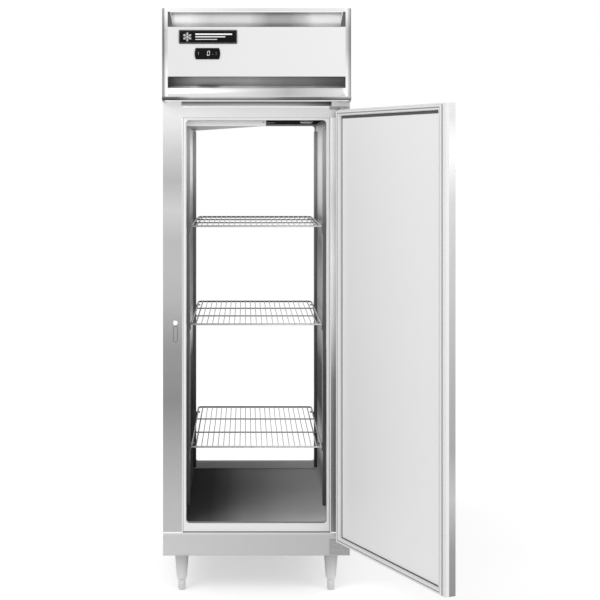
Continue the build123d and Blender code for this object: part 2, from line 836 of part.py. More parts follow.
# Badge plate and controller
with BuildPart() as badge_plate:
    with BuildSketch(Plane.XZ.offset(-cover_y)):
        with Locations((badge_x, badge_z)):
            RectangleRounded(badge_width, badge_height, badge_corner)
    extrude(amount=badge_thickness)
    fillet(badge_plate.faces().sort_by(Axis.Y)[0].edges(), radius=badge_rounding)
save(badge_plate.part, "badge_plate")

with BuildPart() as controller:
    with BuildSketch(Plane.XZ.offset(-cover_y)):
        with Locations((controller_x, controller_z)):
            RectangleRounded(controller_width, controller_height, controller_corner)
    extrude(amount=controller_bezel)
    with BuildSketch(Plane.XZ.offset(-cover_y)):
        with Locations((controller_x, controller_z)):
            Rectangle(body_width, body_height)
    extrude(amount=-controller_depth)
    with BuildSketch(Plane.XZ.offset(-cover_y + controller_bezel)):
        with Locations((controller_x - key_offset, controller_z), (controller_x + key_offset, controller_z)):
            Rectangle(key_width + 2 * key_gap, key_height + 2 * key_gap)
    extrude(amount=-controller_bezel, mode=Mode.SUBTRACT)
save(controller.part, "controller")

key_front = cover_y - controller_bezel - key_proud
key_back = cover_y - key_travel - key_gap
for name, offset in (("left_key", -key_offset), ("right_key", key_offset)):
    with BuildPart() as key:
        with BuildSketch(Plane.XZ.offset(-key_back)):
            with Locations((controller_x + offset, controller_z)):
                Rectangle(key_width, key_height)
        extrude(amount=key_back - key_front)
    save(key.part, name)

# Condensing unit on the roof
tray_half_x = half_width - 2 * cover_border
coil_y = face_y + cover_border + coil_depth / 2
tray_low_y = face_y + cover_border - tray_lip / 2
tray_high_y = evaporator_y - housing_depth / 2 - tray_lip
with BuildPart() as unit_base:
    add(slab((-tray_half_x, tray_low_y, roof_z), (tray_half_x, tray_high_y, roof_z + tray_lip)))
    add(slab((-tray_half_x + base_tray, tray_low_y + base_tray, roof_z + base_tray),
             (tray_half_x - base_tray, tray_high_y - base_tray, roof_z + tray_lip)), mode=Mode.SUBTRACT)
save(unit_base.part, "unit_base")

deck_z = roof_z + base_tray
coil_x = -tray_half_x + tray_lip + coil_width / 2
fan_z = deck_z + coil_height / 2
with BuildPart() as condenser_coil:
    with BuildSketch(Plane.YZ.offset(coil_x - coil_width / 2)):
        with Locations((coil_y, deck_z + coil_height / 2)):
            Rectangle(coil_depth, coil_height)
    extrude(amount=coil_width)
    with BuildSketch(Plane.XY.offset(deck_z)):
        with Locations((coil_x, coil_y - coil_depth / 2)):
            with GridLocations(coil_width / coil_fins, 0, coil_fins, 1):
                Rectangle(coil_width / coil_fins / 2, coil_groove_depth)
    extrude(amount=coil_height, mode=Mode.SUBTRACT)
save(condenser_coil.part, "condenser_coil")

shroud_front = coil_y + coil_depth / 2
shroud_back = shroud_front + shroud_depth
with BuildPart() as fan_shroud:
    with BuildSketch(Plane.XZ.offset(-shroud_front)):
        with Locations((coil_x, fan_z)):
            Rectangle(coil_width, coil_height)
            Circle(fan_radius + fan_gap, mode=Mode.SUBTRACT)
    extrude(amount=-shroud_depth)
    with BuildSketch(Plane.XZ.offset(-shroud_back)):
        with Locations((coil_x, fan_z)):
            Rectangle(coil_width, tray_lip)
            Rectangle(tray_lip, coil_height)
            Circle(motor_radius, mode=Mode.SUBTRACT)
    extrude(amount=-base_tray)
save(fan_shroud.part, "fan_shroud")

with BuildPart() as condenser_fan_motor:
    add(rod(motor_radius, (coil_x, shroud_back, fan_z), (coil_x, shroud_back + motor_length, fan_z)))
    add(rod(shaft_radius, (coil_x, shroud_back - shroud_depth + base_tray, fan_z),
            (coil_x, shroud_back, fan_z)))
save(condenser_fan_motor.part, "condenser_fan_motor")


def fan_wheel(radius, hub_radius, length, bore):
    """A pitched-blade fan wheel on the Z axis, bored for its shaft."""
    with BuildPart() as wheel:
        with BuildSketch():
            Circle(hub_radius)
        extrude(amount=length / 2, both=True)
        with PolarLocations(0, fan_blades):
            with Locations(Location(((radius + hub_radius) / 2 - 1, 0, 0), (fan_pitch, 0, 0))):
                Box(radius - hub_radius + 1, hub_radius * 2, fan_blade_thickness)
        with BuildSketch(Plane.XY.offset(-length)):
            Circle(radius)
        extrude(amount=2 * length, mode=Mode.INTERSECT)
        with BuildSketch(Plane.XY.offset(-length)):
            Circle(bore)
        extrude(amount=2 * length, mode=Mode.SUBTRACT)
    return wheel.part


condenser_wheel = fan_wheel(fan_radius, fan_hub_radius, fan_hub_length, shaft_radius + running_gap)
wheel_y = shroud_front + shroud_depth / 2
save(Pos(coil_x, wheel_y, fan_z) * Rot(90, 0, 0) * condenser_wheel, "condenser_fan_blade")

compressor_x = tray_half_x - tray_lip - compressor_radius
compressor_y = (tray_low_y + tray_high_y) / 2
with BuildPart() as compressor:
    with BuildSketch(Plane.XY.offset(deck_z + compressor_foot)):
        with Locations((compressor_x, compressor_y)):
            Circle(compressor_radius)
    extrude(amount=compressor_height)
    fillet(compressor.faces().sort_by(Axis.Z)[-1].edges(), radius=compressor_radius / 2)
    fillet(compressor.faces().sort_by(Axis.Z)[0].edges(), radius=compressor_bottom_rounding)
    with BuildSketch(Plane.XY.offset(deck_z)):
        with Locations((compressor_x, compressor_y)):
            with GridLocations(compressor_foot_pitch, compressor_foot_pitch, 2, 2):
                Circle(compressor_foot)
    extrude(amount=compressor_foot_height)
save(compressor.part, "compressor")

# Evaporator housing over the fan well and supply slot
housing_width = 2 * (half_width - housing_side_gap)
housing_low_y = evaporator_y - housing_depth / 2
housing_high_y = evaporator_y + housing_depth / 2
housing_top = roof_z + housing_height
with BuildPart() as evaporator_housing:
    add(slab((-housing_width / 2, housing_low_y, roof_z), (housing_width / 2, housing_high_y, housing_top)))
    add(slab((-housing_width / 2 + housing_wall, housing_low_y + housing_wall, roof_z),
             (housing_width / 2 - housing_wall, housing_high_y - housing_wall, housing_top - housing_wall)),
        mode=Mode.SUBTRACT)
save(evaporator_housing.part, "evaporator_housing")

evaporator_fan_z = roof_z + fan_hub_length
motor_low = evaporator_fan_z + fan_hub_length
with BuildPart() as evaporator_fan_motor:
    with BuildSketch(Plane.XY.offset(motor_low)):
        with Locations((0, fan_well_y)):
            Circle(evaporator_motor_radius)
    extrude(amount=evaporator_motor_length)
    with BuildSketch(Plane.XY.offset(motor_low + evaporator_motor_length)):
        with Locations((0, fan_well_y)):
            Circle(evaporator_motor_post)
    extrude(amount=housing_top - housing_wall - motor_low - evaporator_motor_length)
    with BuildSketch(Plane.XY.offset(evaporator_fan_z - fan_hub_length / 2)):
        with Locations((0, fan_well_y)):
            Circle(shaft_radius)
    extrude(amount=motor_low - evaporator_fan_z + fan_hub_length / 2)
save(evaporator_fan_motor.part, "evaporator_fan_motor")
evaporator_wheel = fan_wheel(evaporator_fan_radius, evaporator_hub_radius, fan_hub_length,
                             shaft_radius + running_gap)
save(Pos(0, fan_well_y, evaporator_fan_z) * evaporator_wheel, "evaporator_fan_blade")

# Refrigerant lines between compressor, condenser and evaporator
line_top = deck_z + compressor_foot + compressor_height + 2 * line_bend


def refrigerant_line(points, radius):
    """A copper tube along straight runs joined by bends."""
    with BuildPart() as line:
        with BuildLine() as route:
            FilletPolyline(*points, radius=line_bend)
        with BuildSketch(Plane(origin=points[0], z_dir=Vector(*points[1]) - Vector(*points[0]))):
            Circle(radius)
        sweep(path=route.wires()[0])
    return line.part


compressor_top = deck_z + compressor_foot + compressor_height
suction_route = [
    (compressor_x, compressor_y, compressor_top),
    (compressor_x, compressor_y, line_top),
    (compressor_x, housing_low_y - 2 * line_bend, line_top),
    (compressor_x, housing_low_y - 2 * line_bend, housing_top - 2 * housing_wall),
    (compressor_x, housing_low_y, housing_top - 2 * housing_wall),
]
discharge_x = compressor_x - line_bend
riser_x = coil_x + coil_width / 2 + 2 * line_bend
discharge_route = [
    (discharge_x, compressor_y, compressor_top),
    (discharge_x, compressor_y, line_top),
    (discharge_x, coil_y, line_top),
    (riser_x, coil_y, line_top),
    (riser_x, coil_y, fan_z),
    (coil_x + coil_width / 2, coil_y, fan_z),
]
lines = [refrigerant_line(route, line_radius) for route in (suction_route, discharge_route)]
save(apart(*lines), "refrigerant_lines")
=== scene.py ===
# %% [markdown]
# # A pass-through reach-in refrigerator
# This lesson dresses a measured refrigerator: a stainless cabinet on legs, a door on the front and one on
# the rear, wire shelves, and a condensing unit behind a louvred hood. The measured model is loaded as a
# fixed frame. Every piece made here takes its place from that frame, so nothing has to be fitted by eye.

# %% Load the frame
import bpy
import bmesh
import json
from math import cos, sin, pi, radians
from mathutils import Matrix, Vector


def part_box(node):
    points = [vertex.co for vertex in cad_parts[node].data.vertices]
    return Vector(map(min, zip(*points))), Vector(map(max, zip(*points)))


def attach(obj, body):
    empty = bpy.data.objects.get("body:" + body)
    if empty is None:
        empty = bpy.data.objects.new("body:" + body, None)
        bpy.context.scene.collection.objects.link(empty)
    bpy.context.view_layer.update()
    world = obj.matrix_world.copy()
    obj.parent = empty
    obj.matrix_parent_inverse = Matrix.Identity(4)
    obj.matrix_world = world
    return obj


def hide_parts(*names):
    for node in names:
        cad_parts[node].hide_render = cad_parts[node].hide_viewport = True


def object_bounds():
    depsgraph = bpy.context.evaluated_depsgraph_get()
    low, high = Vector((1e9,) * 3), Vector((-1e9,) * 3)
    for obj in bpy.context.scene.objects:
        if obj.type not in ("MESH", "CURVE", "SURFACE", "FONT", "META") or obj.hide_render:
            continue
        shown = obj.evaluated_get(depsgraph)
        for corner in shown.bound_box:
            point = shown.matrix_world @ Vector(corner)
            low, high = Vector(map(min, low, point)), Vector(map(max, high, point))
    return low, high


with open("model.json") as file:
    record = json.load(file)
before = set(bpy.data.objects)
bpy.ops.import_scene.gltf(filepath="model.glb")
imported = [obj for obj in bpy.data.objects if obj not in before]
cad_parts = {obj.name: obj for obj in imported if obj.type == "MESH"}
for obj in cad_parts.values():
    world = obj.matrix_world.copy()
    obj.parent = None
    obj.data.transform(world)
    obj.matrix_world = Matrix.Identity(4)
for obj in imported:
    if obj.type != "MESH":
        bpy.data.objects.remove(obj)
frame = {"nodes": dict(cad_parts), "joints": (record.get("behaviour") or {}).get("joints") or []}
cad_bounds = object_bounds()
scene = bpy.context.scene
nodes = frame["nodes"]
joints = {joint["name"]: joint for joint in frame["joints"]}
MM = 0.001
print("cabinet box", [tuple(round(c, 3) for c in corner) for corner in cad_bounds])

# %% [markdown]
# ## Camera
# The cabinet is seen square on from a little under eye level, through a long lens. Keeping the camera
# level and shifting its sensor keeps the uprights upright, as in a catalogue view of a tall appliance.

# %% Camera
EYE_HEIGHT = 1.538
EYE_LEFT = -0.037
EYE_DISTANCE = 4.5
LENS = 76.5
face_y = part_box("front_left_stile")[0].y
camera_data = bpy.data.cameras.new("camera")
camera_data.lens = LENS
camera_data.sensor_width = 36.0
camera_data.shift_x = 0.09
camera_data.shift_y = -0.2333
camera = bpy.data.objects.new("camera", camera_data)
camera.location = (EYE_LEFT, face_y - EYE_DISTANCE, EYE_HEIGHT)
camera.rotation_euler = (radians(90), 0, 0)
scene.collection.objects.link(camera)
scene.camera = camera
scene.view_settings.view_transform = "Standard"
print("camera at", tuple(round(c, 3) for c in camera.location))

# %% [markdown]
# ## Helpers for materials
# Every finish is a Principled shader fed by a little procedural variation. Brushed metal is the same noise
# stretched hard along one axis; plastic is a fine, even bump. A helper that wires noise into colour,
# roughness and bump keeps each finish to one short call.


# %% Material helpers
def linear(grey):
    """A display grey from 0 to 1 as the linear value a shader wants."""
    return grey / 12.92 if grey <= 0.04045 else ((grey + 0.055) / 1.055) ** 2.4


def shade(grey, tint=(1.0, 1.0, 1.0)):
    """A linear RGBA colour from a display grey and a tint."""
    return (*[linear(grey) * t for t in tint], 1.0)


def start_material(name):
    """An empty node material with a Principled shader; returns material, nodes, links and shader."""
    material = bpy.data.materials.new(name)
    material.use_nodes = True
    tree = material.node_tree
    return material, tree.nodes, tree.links, tree.nodes["Principled BSDF"]


def grain(tree_nodes, links, stretch, scale, detail=4.0):
    """Noise on Object coordinates, stretched by a Mapping node; returns its factor output."""
    coordinates = tree_nodes.new("ShaderNodeTexCoord")
    mapping = tree_nodes.new("ShaderNodeMapping")
    mapping.inputs["Scale"].default_value = stretch
    noise = tree_nodes.new("ShaderNodeTexNoise")
    noise.inputs["Scale"].default_value = scale
    noise.inputs["Detail"].default_value = detail
    links.new(coordinates.outputs["Object"], mapping.inputs["Vector"])
    links.new(mapping.outputs["Vector"], noise.inputs["Vector"])
    return noise.outputs["Fac"]


def ramp(tree_nodes, links, source, stops):
    """A colour ramp with the given (position, colour) stops; returns its colour output."""
    node = tree_nodes.new("ShaderNodeValToRGB")
    elements = node.color_ramp.elements
    while len(elements) < len(stops):
        elements.new(0.5)
    for element, (position, colour) in zip(elements, stops):
        element.position = position
        element.color = colour
    links.new(source, node.inputs["Fac"])
    return node.outputs["Color"]


def bump(tree_nodes, links, source, shader, strength, distance):
    """Feeds a height into the shader's normal."""
    node = tree_nodes.new("ShaderNodeBump")
    node.inputs["Strength"].default_value = strength
    node.inputs["Distance"].default_value = distance
    links.new(source, node.inputs["Height"])
    links.new(node.outputs["Normal"], shader.inputs["Normal"])


def spread(tree_nodes, links, source, low, high):
    """Maps a 0 to 1 factor onto a range, for roughness."""
    node = tree_nodes.new("ShaderNodeMapRange")
    node.inputs["To Min"].default_value = low
    node.inputs["To Max"].default_value = high
    links.new(source, node.inputs["Value"])
    return node.outputs["Result"]


def surface(name, grey, tint=(1, 1, 1), contrast=0.03, metallic=0.0, roughness=(0.4, 0.5),
            stretch=(1, 1, 1), scale=60.0, relief=0.15, depth=0.0002, sheen=0.5):
    """A finish with even colour and roughness variation and a fine bump. Sheen is the specular level."""
    material, tree_nodes, links, shader = start_material(name)
    factor = grain(tree_nodes, links, stretch, scale)
    stops = [(0.3, shade(grey - contrast, tint)), (0.7, shade(grey + contrast, tint))]
    links.new(ramp(tree_nodes, links, factor, stops), shader.inputs["Base Color"])
    links.new(spread(tree_nodes, links, factor, *roughness), shader.inputs["Roughness"])
    shader.inputs["Metallic"].default_value = metallic
    shader.inputs["Specular IOR Level"].default_value = sheen
    bump(tree_nodes, links, factor, shader, relief, depth)
    return material


# %% [markdown]
# ## Painted light along the sheet
# Sheet steel is brushed in one direction, so its reflections smear across the grain into soft bands. The
# bands could come from cards set up round the object, but those would shine differently on every other
# view. Here they are painted: ramps along the sheet itself, in millimetres, multiplied together, with the
# grain as stretched noise. The same ramps paint the shade inside the cabinet and under the hood.


# %% Finishes with painted light and shade
def tone_along(tree_nodes, links, source, axis, bands):
    """A colour of painted light and shade that follows one Object axis. Bands are (position in millimetres,
    display grey).
    """
    split = tree_nodes.new("ShaderNodeSeparateXYZ")
    reach = tree_nodes.new("ShaderNodeMapRange")
    low, high = bands[0][0], bands[-1][0]
    reach.inputs["From Min"].default_value = low * MM
    reach.inputs["From Max"].default_value = high * MM
    links.new(source, split.inputs["Vector"])
    links.new(split.outputs[axis], reach.inputs["Value"])
    stops = [((position - low) / (high - low), shade(grey)) for position, grey in bands]
    return ramp(tree_nodes, links, reach.outputs["Result"], stops)


def times(tree_nodes, links, first, second):
    """The product of two colours."""
    mix = tree_nodes.new("ShaderNodeMix")
    mix.data_type = "RGBA"
    mix.blend_type = "MULTIPLY"
    mix.inputs["Factor"].default_value = 1.0
    links.new(first, mix.inputs["A"])
    links.new(second, mix.inputs["B"])
    return mix.outputs["Result"]


def toned(name, tones, stretch=(30, 30, 0.6), metallic=1.0, roughness=(0.3, 0.42), streak=0.045, scale=90.0,
          sheen=0.5, reflection_metal=None):
    """A finish whose colour is the product of bands of painted reflection and painted shade along some axes,
    with fine streaks of grain over it.

    Metallic bands along Z, if given, take the place of an even metallic value and paint stronger reflections
    at some heights."""
    material, tree_nodes, links, shader = start_material(name)
    coordinates = tree_nodes.new("ShaderNodeTexCoord")
    factor = grain(tree_nodes, links, stretch, scale)
    colour = ramp(tree_nodes, links, factor, [(0.3, shade(1.0 - streak)), (0.7, shade(1.0))])
    for axis, bands in tones.items():
        tone = tone_along(tree_nodes, links, coordinates.outputs["Object"], axis, bands)
        colour = times(tree_nodes, links, colour, tone)
    links.new(colour, shader.inputs["Base Color"])
    links.new(spread(tree_nodes, links, factor, *roughness), shader.inputs["Roughness"])
    shader.inputs["Metallic"].default_value = metallic
    if reflection_metal:
        links.new(tone_along(tree_nodes, links, coordinates.outputs["Object"], "Z", reflection_metal),
                  shader.inputs["Metallic"])
    shader.inputs["Specular IOR Level"].default_value = sheen
    bump(tree_nodes, links, factor, shader, 0.12, 0.0002)
    return material


UPRIGHT = (30, 30, 0.6)
ACROSS = (0.6, 30, 30)
FLAT = (1, 1, 1)
# Painted reflections in bands down the left stile, and down the right stile, which is also darker low down as
# painted shade from the open door.
LEFT_STILE_REFLECTIONS = {"Z": [(142, 0.72), (200, 0.705), (340, 0.68), (515, 0.62), (690, 0.53), (870, 0.58),
                    (1045, 0.70),
                    (1150, 0.728), (1255, 0.725), (1360, 0.80), (1465, 0.71), (1575, 0.80), (1660, 0.88),
                    (1745, 0.90)]}
RIGHT_STILE_REFLECTIONS_AND_SHADE = {"Z": [(142, 0.60), (230, 0.54), (340, 0.47), (550, 0.49), (760, 0.57), (970, 0.90),
                     (1185, 0.99),
                     (1395, 0.92), (1500, 0.98), (1745, 1.0)]}
# Painted reflections in bands across the hood, with painted shade on its bevelled side edges.
HOOD = {"X": [(-330, 0.58), (-320, 0.62), (-317, 0.97), (-306, 0.97), (-300, 0.93), (0, 0.88), (300, 0.93),
              (306, 0.97), (317, 0.97), (320, 0.62), (330, 0.58)],
        "Z": [(1743, 0.98), (1790, 0.99), (1850, 0.94), (1920, 0.79), (1990, 0.77), (2040, 0.94),
              (2067, 0.97)]}
# Painted reflections and bright patches across the scoops; the lower scoop also has painted shade at its ends
# and near the top of its slot.
UPPER_SCOOP_REFLECTIONS = {"X": [(-300, 0.85), (-285, 1.0), (-236, 1.0), (-166, 0.90), (-96, 0.93), (-27, 0.94),
                     (43, 0.74),
                     (113, 0.74), (165, 0.86), (200, 1.0), (300, 1.0)],
               "Z": [(2001, 1.0), (2060, 1.0)]}
LOWER_SCOOP_REFLECTIONS_AND_SHADE = {"X": [(-310, 0.5), (-262, 0.8), (-215, 0.98), (-150, 0.96), (-20, 0.94), (30, 0.84),
                     (110, 0.76),
                     (190, 0.74), (210, 0.7), (310, 0.6)],
               "Z": [(1789, 1.0), (1818, 1.0), (1830, 0.9)]}
# Painted shade and painted reflections up the liner walls: dark low down and just under the ceiling, bright
# bands higher up. The metallic bands paint where those reflections are strong.
LEFT_WALL_SHADE_AND_REFLECTIONS = {"Z": [(230, 0.42), (425, 0.34), (615, 0.36), (770, 0.54), (885, 1.0), (1075, 0.80), (1230, 0.74),
                   (1385, 0.82), (1460, 0.94), (1575, 1.0), (1615, 0.90), (1687, 0.6)]}
LEFT_WALL_REFLECTION_METAL = [(230, 0.0), (770, 0.0), (885, 0.7), (980, 0.3), (1230, 0.3), (1385, 0.6), (1460, 0.95),
               (1550, 1.0),
               (1687, 0.9)]
RIGHT_WALL_SHADE_AND_REFLECTIONS = {"Z": [(260, 0.78), (350, 0.60), (470, 0.88), (590, 0.48), (745, 0.52), (865, 0.80), (985, 0.85),
                    (1100, 0.78), (1220, 0.63), (1300, 0.67), (1380, 0.84), (1460, 0.86), (1540, 0.94),
                    (1620, 0.92), (1687, 0.5)]}
RIGHT_WALL_REFLECTION_METAL = [(260, 0.0), (350, 0.0), (470, 0.6), (590, 0.0), (745, 0.0), (865, 0.5), (1220, 0.4),
                (1380, 0.9),
                (1460, 1.0), (1687, 0.9)]
# Painted shade low on the frame's return into the liner, and a painted reflection above it, made stronger by
# the metallic bands.
REVEAL = {"Z": [(250, 0.50), (400, 0.62), (860, 0.60), (890, 0.96), (1660, 1.0), (1687, 0.9)]}
REVEAL_REFLECTION_METAL = [(250, 0.0), (860, 0.3), (890, 0.95), (1687, 1.0)]
# Painted shade on the liner floor: darker to the left and towards the back.
FLOOR = {"X": [(-253, 0.34), (-170, 0.36), (-110, 0.47), (-50, 0.60), (20, 0.66), (90, 0.74), (253, 0.86)],
         "Y": [(-391, 1.0), (-250, 0.92), (391, 0.86)]}
finish = {
    "stile": toned("stile steel", LEFT_STILE_REFLECTIONS),
    "right_stile": toned("right stile steel", RIGHT_STILE_REFLECTIONS_AND_SHADE),
    # Painted reflections in bands up the side panels, the door skins and the rails; the rails also darken to
    # the right as painted shade.
    "side": toned("side steel", {"Z": [(142, 0.74), (900, 0.66), (1700, 0.84), (2067, 0.8)]}),
    "door_skin": toned("door skin steel", {"Z": [(200, 0.54), (345, 0.575), (500, 0.72), (650, 0.64),
                                                 (800, 0.67),
                                                 (960, 0.71), (1110, 0.73), (1260, 0.72), (1415, 0.71),
                                                 (1570, 0.80), (1675, 0.70), (1714, 0.7)]}),
    "rail": toned("rail steel", {"Z": [(142, 0.73), (150, 0.75), (215, 0.74), (223, 0.86), (1679, 0.9),
                                       (1743, 0.9)],
                                 "X": [(-330, 1.0), (330, 0.92)]}, ACROSS),
    "hood": toned("hood steel", HOOD, ACROSS, streak=0.02),
    # Painted shade: the hood panel is a little darker to the left.
    "hood_panel": toned("hood panel enamel", {"X": [(-310, 0.85), (310, 0.89)]}, FLAT, metallic=0.0,
                        roughness=(0.34, 0.42), streak=0.008, scale=400.0, sheen=0.3),
    "upper_scoop": toned("upper scoop steel", UPPER_SCOOP_REFLECTIONS, (14, 14, 1.5), roughness=(0.2, 0.3), streak=0.1),
    "lower_scoop": toned("lower scoop steel", LOWER_SCOOP_REFLECTIONS_AND_SHADE, (14, 14, 1.5), roughness=(0.2, 0.3), streak=0.1),
    # Painted shade: a dark grey for the unlit gap beside the upper scoop's ends.
    "gap_shade": surface("painted gap shade", 0.32, contrast=0.03, roughness=(0.6, 0.8), scale=30.0),
    # Painted reflections along the drip lip and the rolled edge; painted shade under the rolled edge, and in
    # the recess over the header, darkest at its top and ends.
    "lip": toned("drip lip steel", {"X": [(-310, 0.87), (-90, 0.88), (-40, 0.86), (60, 0.78), (110, 0.72),
                                          (200, 0.80), (310, 0.86)]}, ACROSS, roughness=(0.2, 0.3),
                                          streak=0.02),
    "drip": toned("drip edge steel", {"Z": [(1743, 0.32), (1747, 0.40), (1752, 0.58), (1759, 0.86)],
                                      "X": [(-330, 0.6), (-280, 0.62), (-230, 1.0), (-60, 1.0), (30, 0.94),
                                            (100, 0.72), (220, 0.7), (300, 0.92), (330, 0.92)]},
                  ACROSS, roughness=(0.2, 0.3), streak=0.06),
    "recess": toned("painted recess shade", {"Z": [(1727, 0.9), (1732, 0.7), (1743, 0.36)],
                                     "X": [(-265, 0.95), (0, 1.0), (150, 0.9), (262, 0.5), (265, 0.3)]},
                                     ACROSS),
    # Bright steel for the strike's boss, and for thin strips that paint highlights on the stiles and the
    # header.
    "bright": surface("bright steel and painted highlight", 0.98, contrast=0.01, metallic=1.0, roughness=(0.2, 0.3), scale=80.0),
    # Painted reflections down the legs, handles and lock, with painted shade at the top of each leg just
    # under the cabinet.
    "polished": toned("polished steel", {"Z": [(0, 0.78), (44, 0.82), (90, 0.74), (136, 0.62), (142, 0.55),
                                               (2067, 0.78)]}, UPRIGHT, roughness=(0.14, 0.22)),
    "left_wall": toned("left liner aluminium", LEFT_WALL_SHADE_AND_REFLECTIONS, sheen=0.0, reflection_metal=LEFT_WALL_REFLECTION_METAL),
    "right_wall": toned("right liner aluminium", RIGHT_WALL_SHADE_AND_REFLECTIONS, sheen=0.0, reflection_metal=RIGHT_WALL_REFLECTION_METAL),
    # Painted shade on the ceiling, darker to the right, and on the pilasters, darker low down.
    "ceiling": toned("ceiling aluminium", {"X": [(-253, 0.34), (60, 0.22), (253, 0.2)]}, FLAT, metallic=0.0,
                     sheen=0.0),
    "pilaster": toned("pilaster steel", {"Z": [(288, 0.30), (900, 0.4), (1300, 0.5), (1654, 0.72)]}),
    "liner_floor": toned("liner floor steel", FLOOR, ACROSS, metallic=0.0, sheen=0.0),
    "breaker": surface("breaker strip vinyl", 0.90, contrast=0.012, roughness=(0.4, 0.5), scale=300.0),
    "reveal": toned("breaker reveal", REVEAL, FLAT, streak=0.01, sheen=0.2, reflection_metal=REVEAL_REFLECTION_METAL),
    "breaker_groove": surface("breaker groove", 0.45, contrast=0.02, roughness=(0.5, 0.6), scale=300.0),
    "door_inner": surface("door liner enamel", 0.9, contrast=0.006, roughness=(0.35, 0.42), scale=300.0),
    "gasket": surface("gasket vinyl", 0.88, contrast=0.012, roughness=(0.5, 0.6), scale=200.0, relief=0.2),
    # Painted shade in the gasket's grooves: a darker grey on the groove faces of the one-colour vinyl.
    "gasket_groove_shade": surface("gasket groove shade", 0.66, contrast=0.02, roughness=(0.6, 0.7), scale=200.0),
    # Painted shadow: the dark grey strip inside each gasket.
    "gasket_shadow": surface("painted gasket shadow", 0.30, contrast=0.02, roughness=(0.5, 0.6), scale=200.0),
    # Painted shade on the shelf wires, darker towards the back and to the left, lighter at the front edge.
    "wire": toned("shelf wire epoxy", {"Y": [(-380, 0.86), (-300, 0.70), (-100, 0.55), (380, 0.40)],
                                       "X": [(-240, 0.7), (-150, 0.8), (120, 1.0), (240, 1.0)]},
                  FLAT, metallic=0.7, roughness=(0.22, 0.34), streak=0.06),
    "black": surface("black moulding", 0.045, contrast=0.012, roughness=(0.4, 0.5), scale=400.0, sheen=0.08),
    "glyph": surface("white print", 0.93, contrast=0.02, roughness=(0.4, 0.5), scale=300.0),
    "dim_glyph": surface("grey print", 0.55, contrast=0.03, roughness=(0.4, 0.5), scale=300.0),
    "bracket": surface("bracket casting", 0.60, contrast=0.03, metallic=1.0, roughness=(0.38, 0.5),
                       scale=120.0),
    "galvanised": surface("galvanised sheet", 0.7, contrast=0.06, metallic=1.0, roughness=(0.4, 0.6),
                          scale=25.0),
    "foam": surface("insulation foam", 0.85, tint=(1, 0.95, 0.8), roughness=(0.8, 0.95), scale=90.0,
                    relief=0.6),
    "copper": surface("copper tube", 0.75, tint=(1, 0.55, 0.35), metallic=1.0, roughness=(0.25, 0.4),
                      scale=40.0),
    "fin": surface("coil fin aluminium", 0.74, metallic=1.0, roughness=(0.3, 0.45), scale=100.0),
    "enamel": surface("compressor enamel", 0.1, contrast=0.02, roughness=(0.3, 0.45), scale=60.0, relief=0.3),
    # The lamp lens is darkened to a mid grey as painted shade, for a lens hanging in the dark under the
    # ceiling.
    "lens": surface("lamp lens", 0.45, contrast=0.01, roughness=(0.2, 0.3), scale=200.0),
    "white": surface("white moulding", 0.97, contrast=0.01, roughness=(0.3, 0.4), scale=300.0),
    # Painted shade on the underside of the white baffle.
    "under": toned("baffle underside shade", {"X": [(-252, 0.62), (-200, 0.60), (-140, 0.68), (40, 0.72)]}, FLAT,
                   metallic=0.0, sheen=0.1),
    "screw": surface("screw steel", 0.62, contrast=0.05, metallic=1.0, roughness=(0.25, 0.35), scale=200.0),
    "rubber": surface("dark rubber", 0.16, contrast=0.03, roughness=(0.6, 0.75), scale=150.0),
}


def coat(name, finish_name):
    """Gives a carried-over node its finish."""
    materials = nodes[name].data.materials
    materials.clear()
    materials.append(finish[finish_name])


coats = {
    "stile": ["front_left_stile"],
    "right_stile": ["front_right_stile"],
    "side": ["left_side_panel", "right_side_panel", "rear_face_sheets"],
    "door_skin": ["front_door_skin", "rear_door_skin"],
    "rail": ["front_rails"],
    "hood": ["front_cover", "rear_cover", "compartment_side_panels"],
    "hood_panel": ["front_cover_panel", "rear_cover_panel"],
    "polished": ["front_door_lock", "front_door_handle", "rear_door_handle"],
    "left_wall": ["liner_left_wall"],
    "right_wall": ["liner_right_wall"],
    "ceiling": ["liner_ceiling"],
    "pilaster": ["pilasters", "shelf_clips"],
    "liner_floor": ["liner_floor"],
    "door_inner": ["front_door_panel", "rear_door_panel"],
    "black": ["condenser_fan_motor", "evaporator_fan_motor"],
    "bracket": ["hinge_brackets"],
    "galvanised": ["roof_panel", "base_panel", "unit_base", "fan_shroud", "evaporator_housing"],
    "foam": ["cabinet_foam", "front_door_core", "rear_door_core"],
    "copper": ["refrigerant_lines"],
    "fin": ["condenser_fan_blade", "evaporator_fan_blade"],
    "lens": ["interior_light"],
}
for finish_name, node_names in coats.items():
    for node_name in node_names:
        coat(node_name, finish_name)
print("finishes", len(finish), "nodes coated", sum(len(v) for v in coats.values()))

# %% [markdown]
# ## Building one by one
# The pieces are drawn in millimetres in the cabinet's own axes and placed by a small function: straight
# on the front, mirrored for the rear, or swung with a door. Four shapes cover nearly everything: a strip
# round an opening, a turned profile, a flat prism with eased edges, and a strip swept along a curve.


# %% Placing
hinge = Vector(joints["front_door_hinge"]["pos_m"])
OPEN_ANGLE = -joints["front_door_hinge"]["range_deg"][0]
swing = Matrix.Translation(hinge) @ Matrix.Rotation(radians(OPEN_ANGLE), 4, "Z") @ Matrix.Translation(-hinge)


def on_front(x, y, z):
    """A point in millimetres on the front half of the cabinet."""
    return Vector((x, y, z)) * MM


def on_rear(x, y, z):
    """The same point mirrored to the rear."""
    return Vector((x, -y, z)) * MM


def on_front_door(x, y, z):
    """A point on the closed front door, swung to where the door stands."""
    return swing @ (Vector((x, y, z)) * MM)


def on_rear_door(x, y, z):
    """The same point on the rear door."""
    point = on_front_door(x, y, z)
    return Vector((point.x, -point.y, point.z))


HALVES = {"front": (on_front, on_front_door), "rear": (on_rear, on_rear_door)}
print("doors stand open at", OPEN_ANGLE, "degrees")


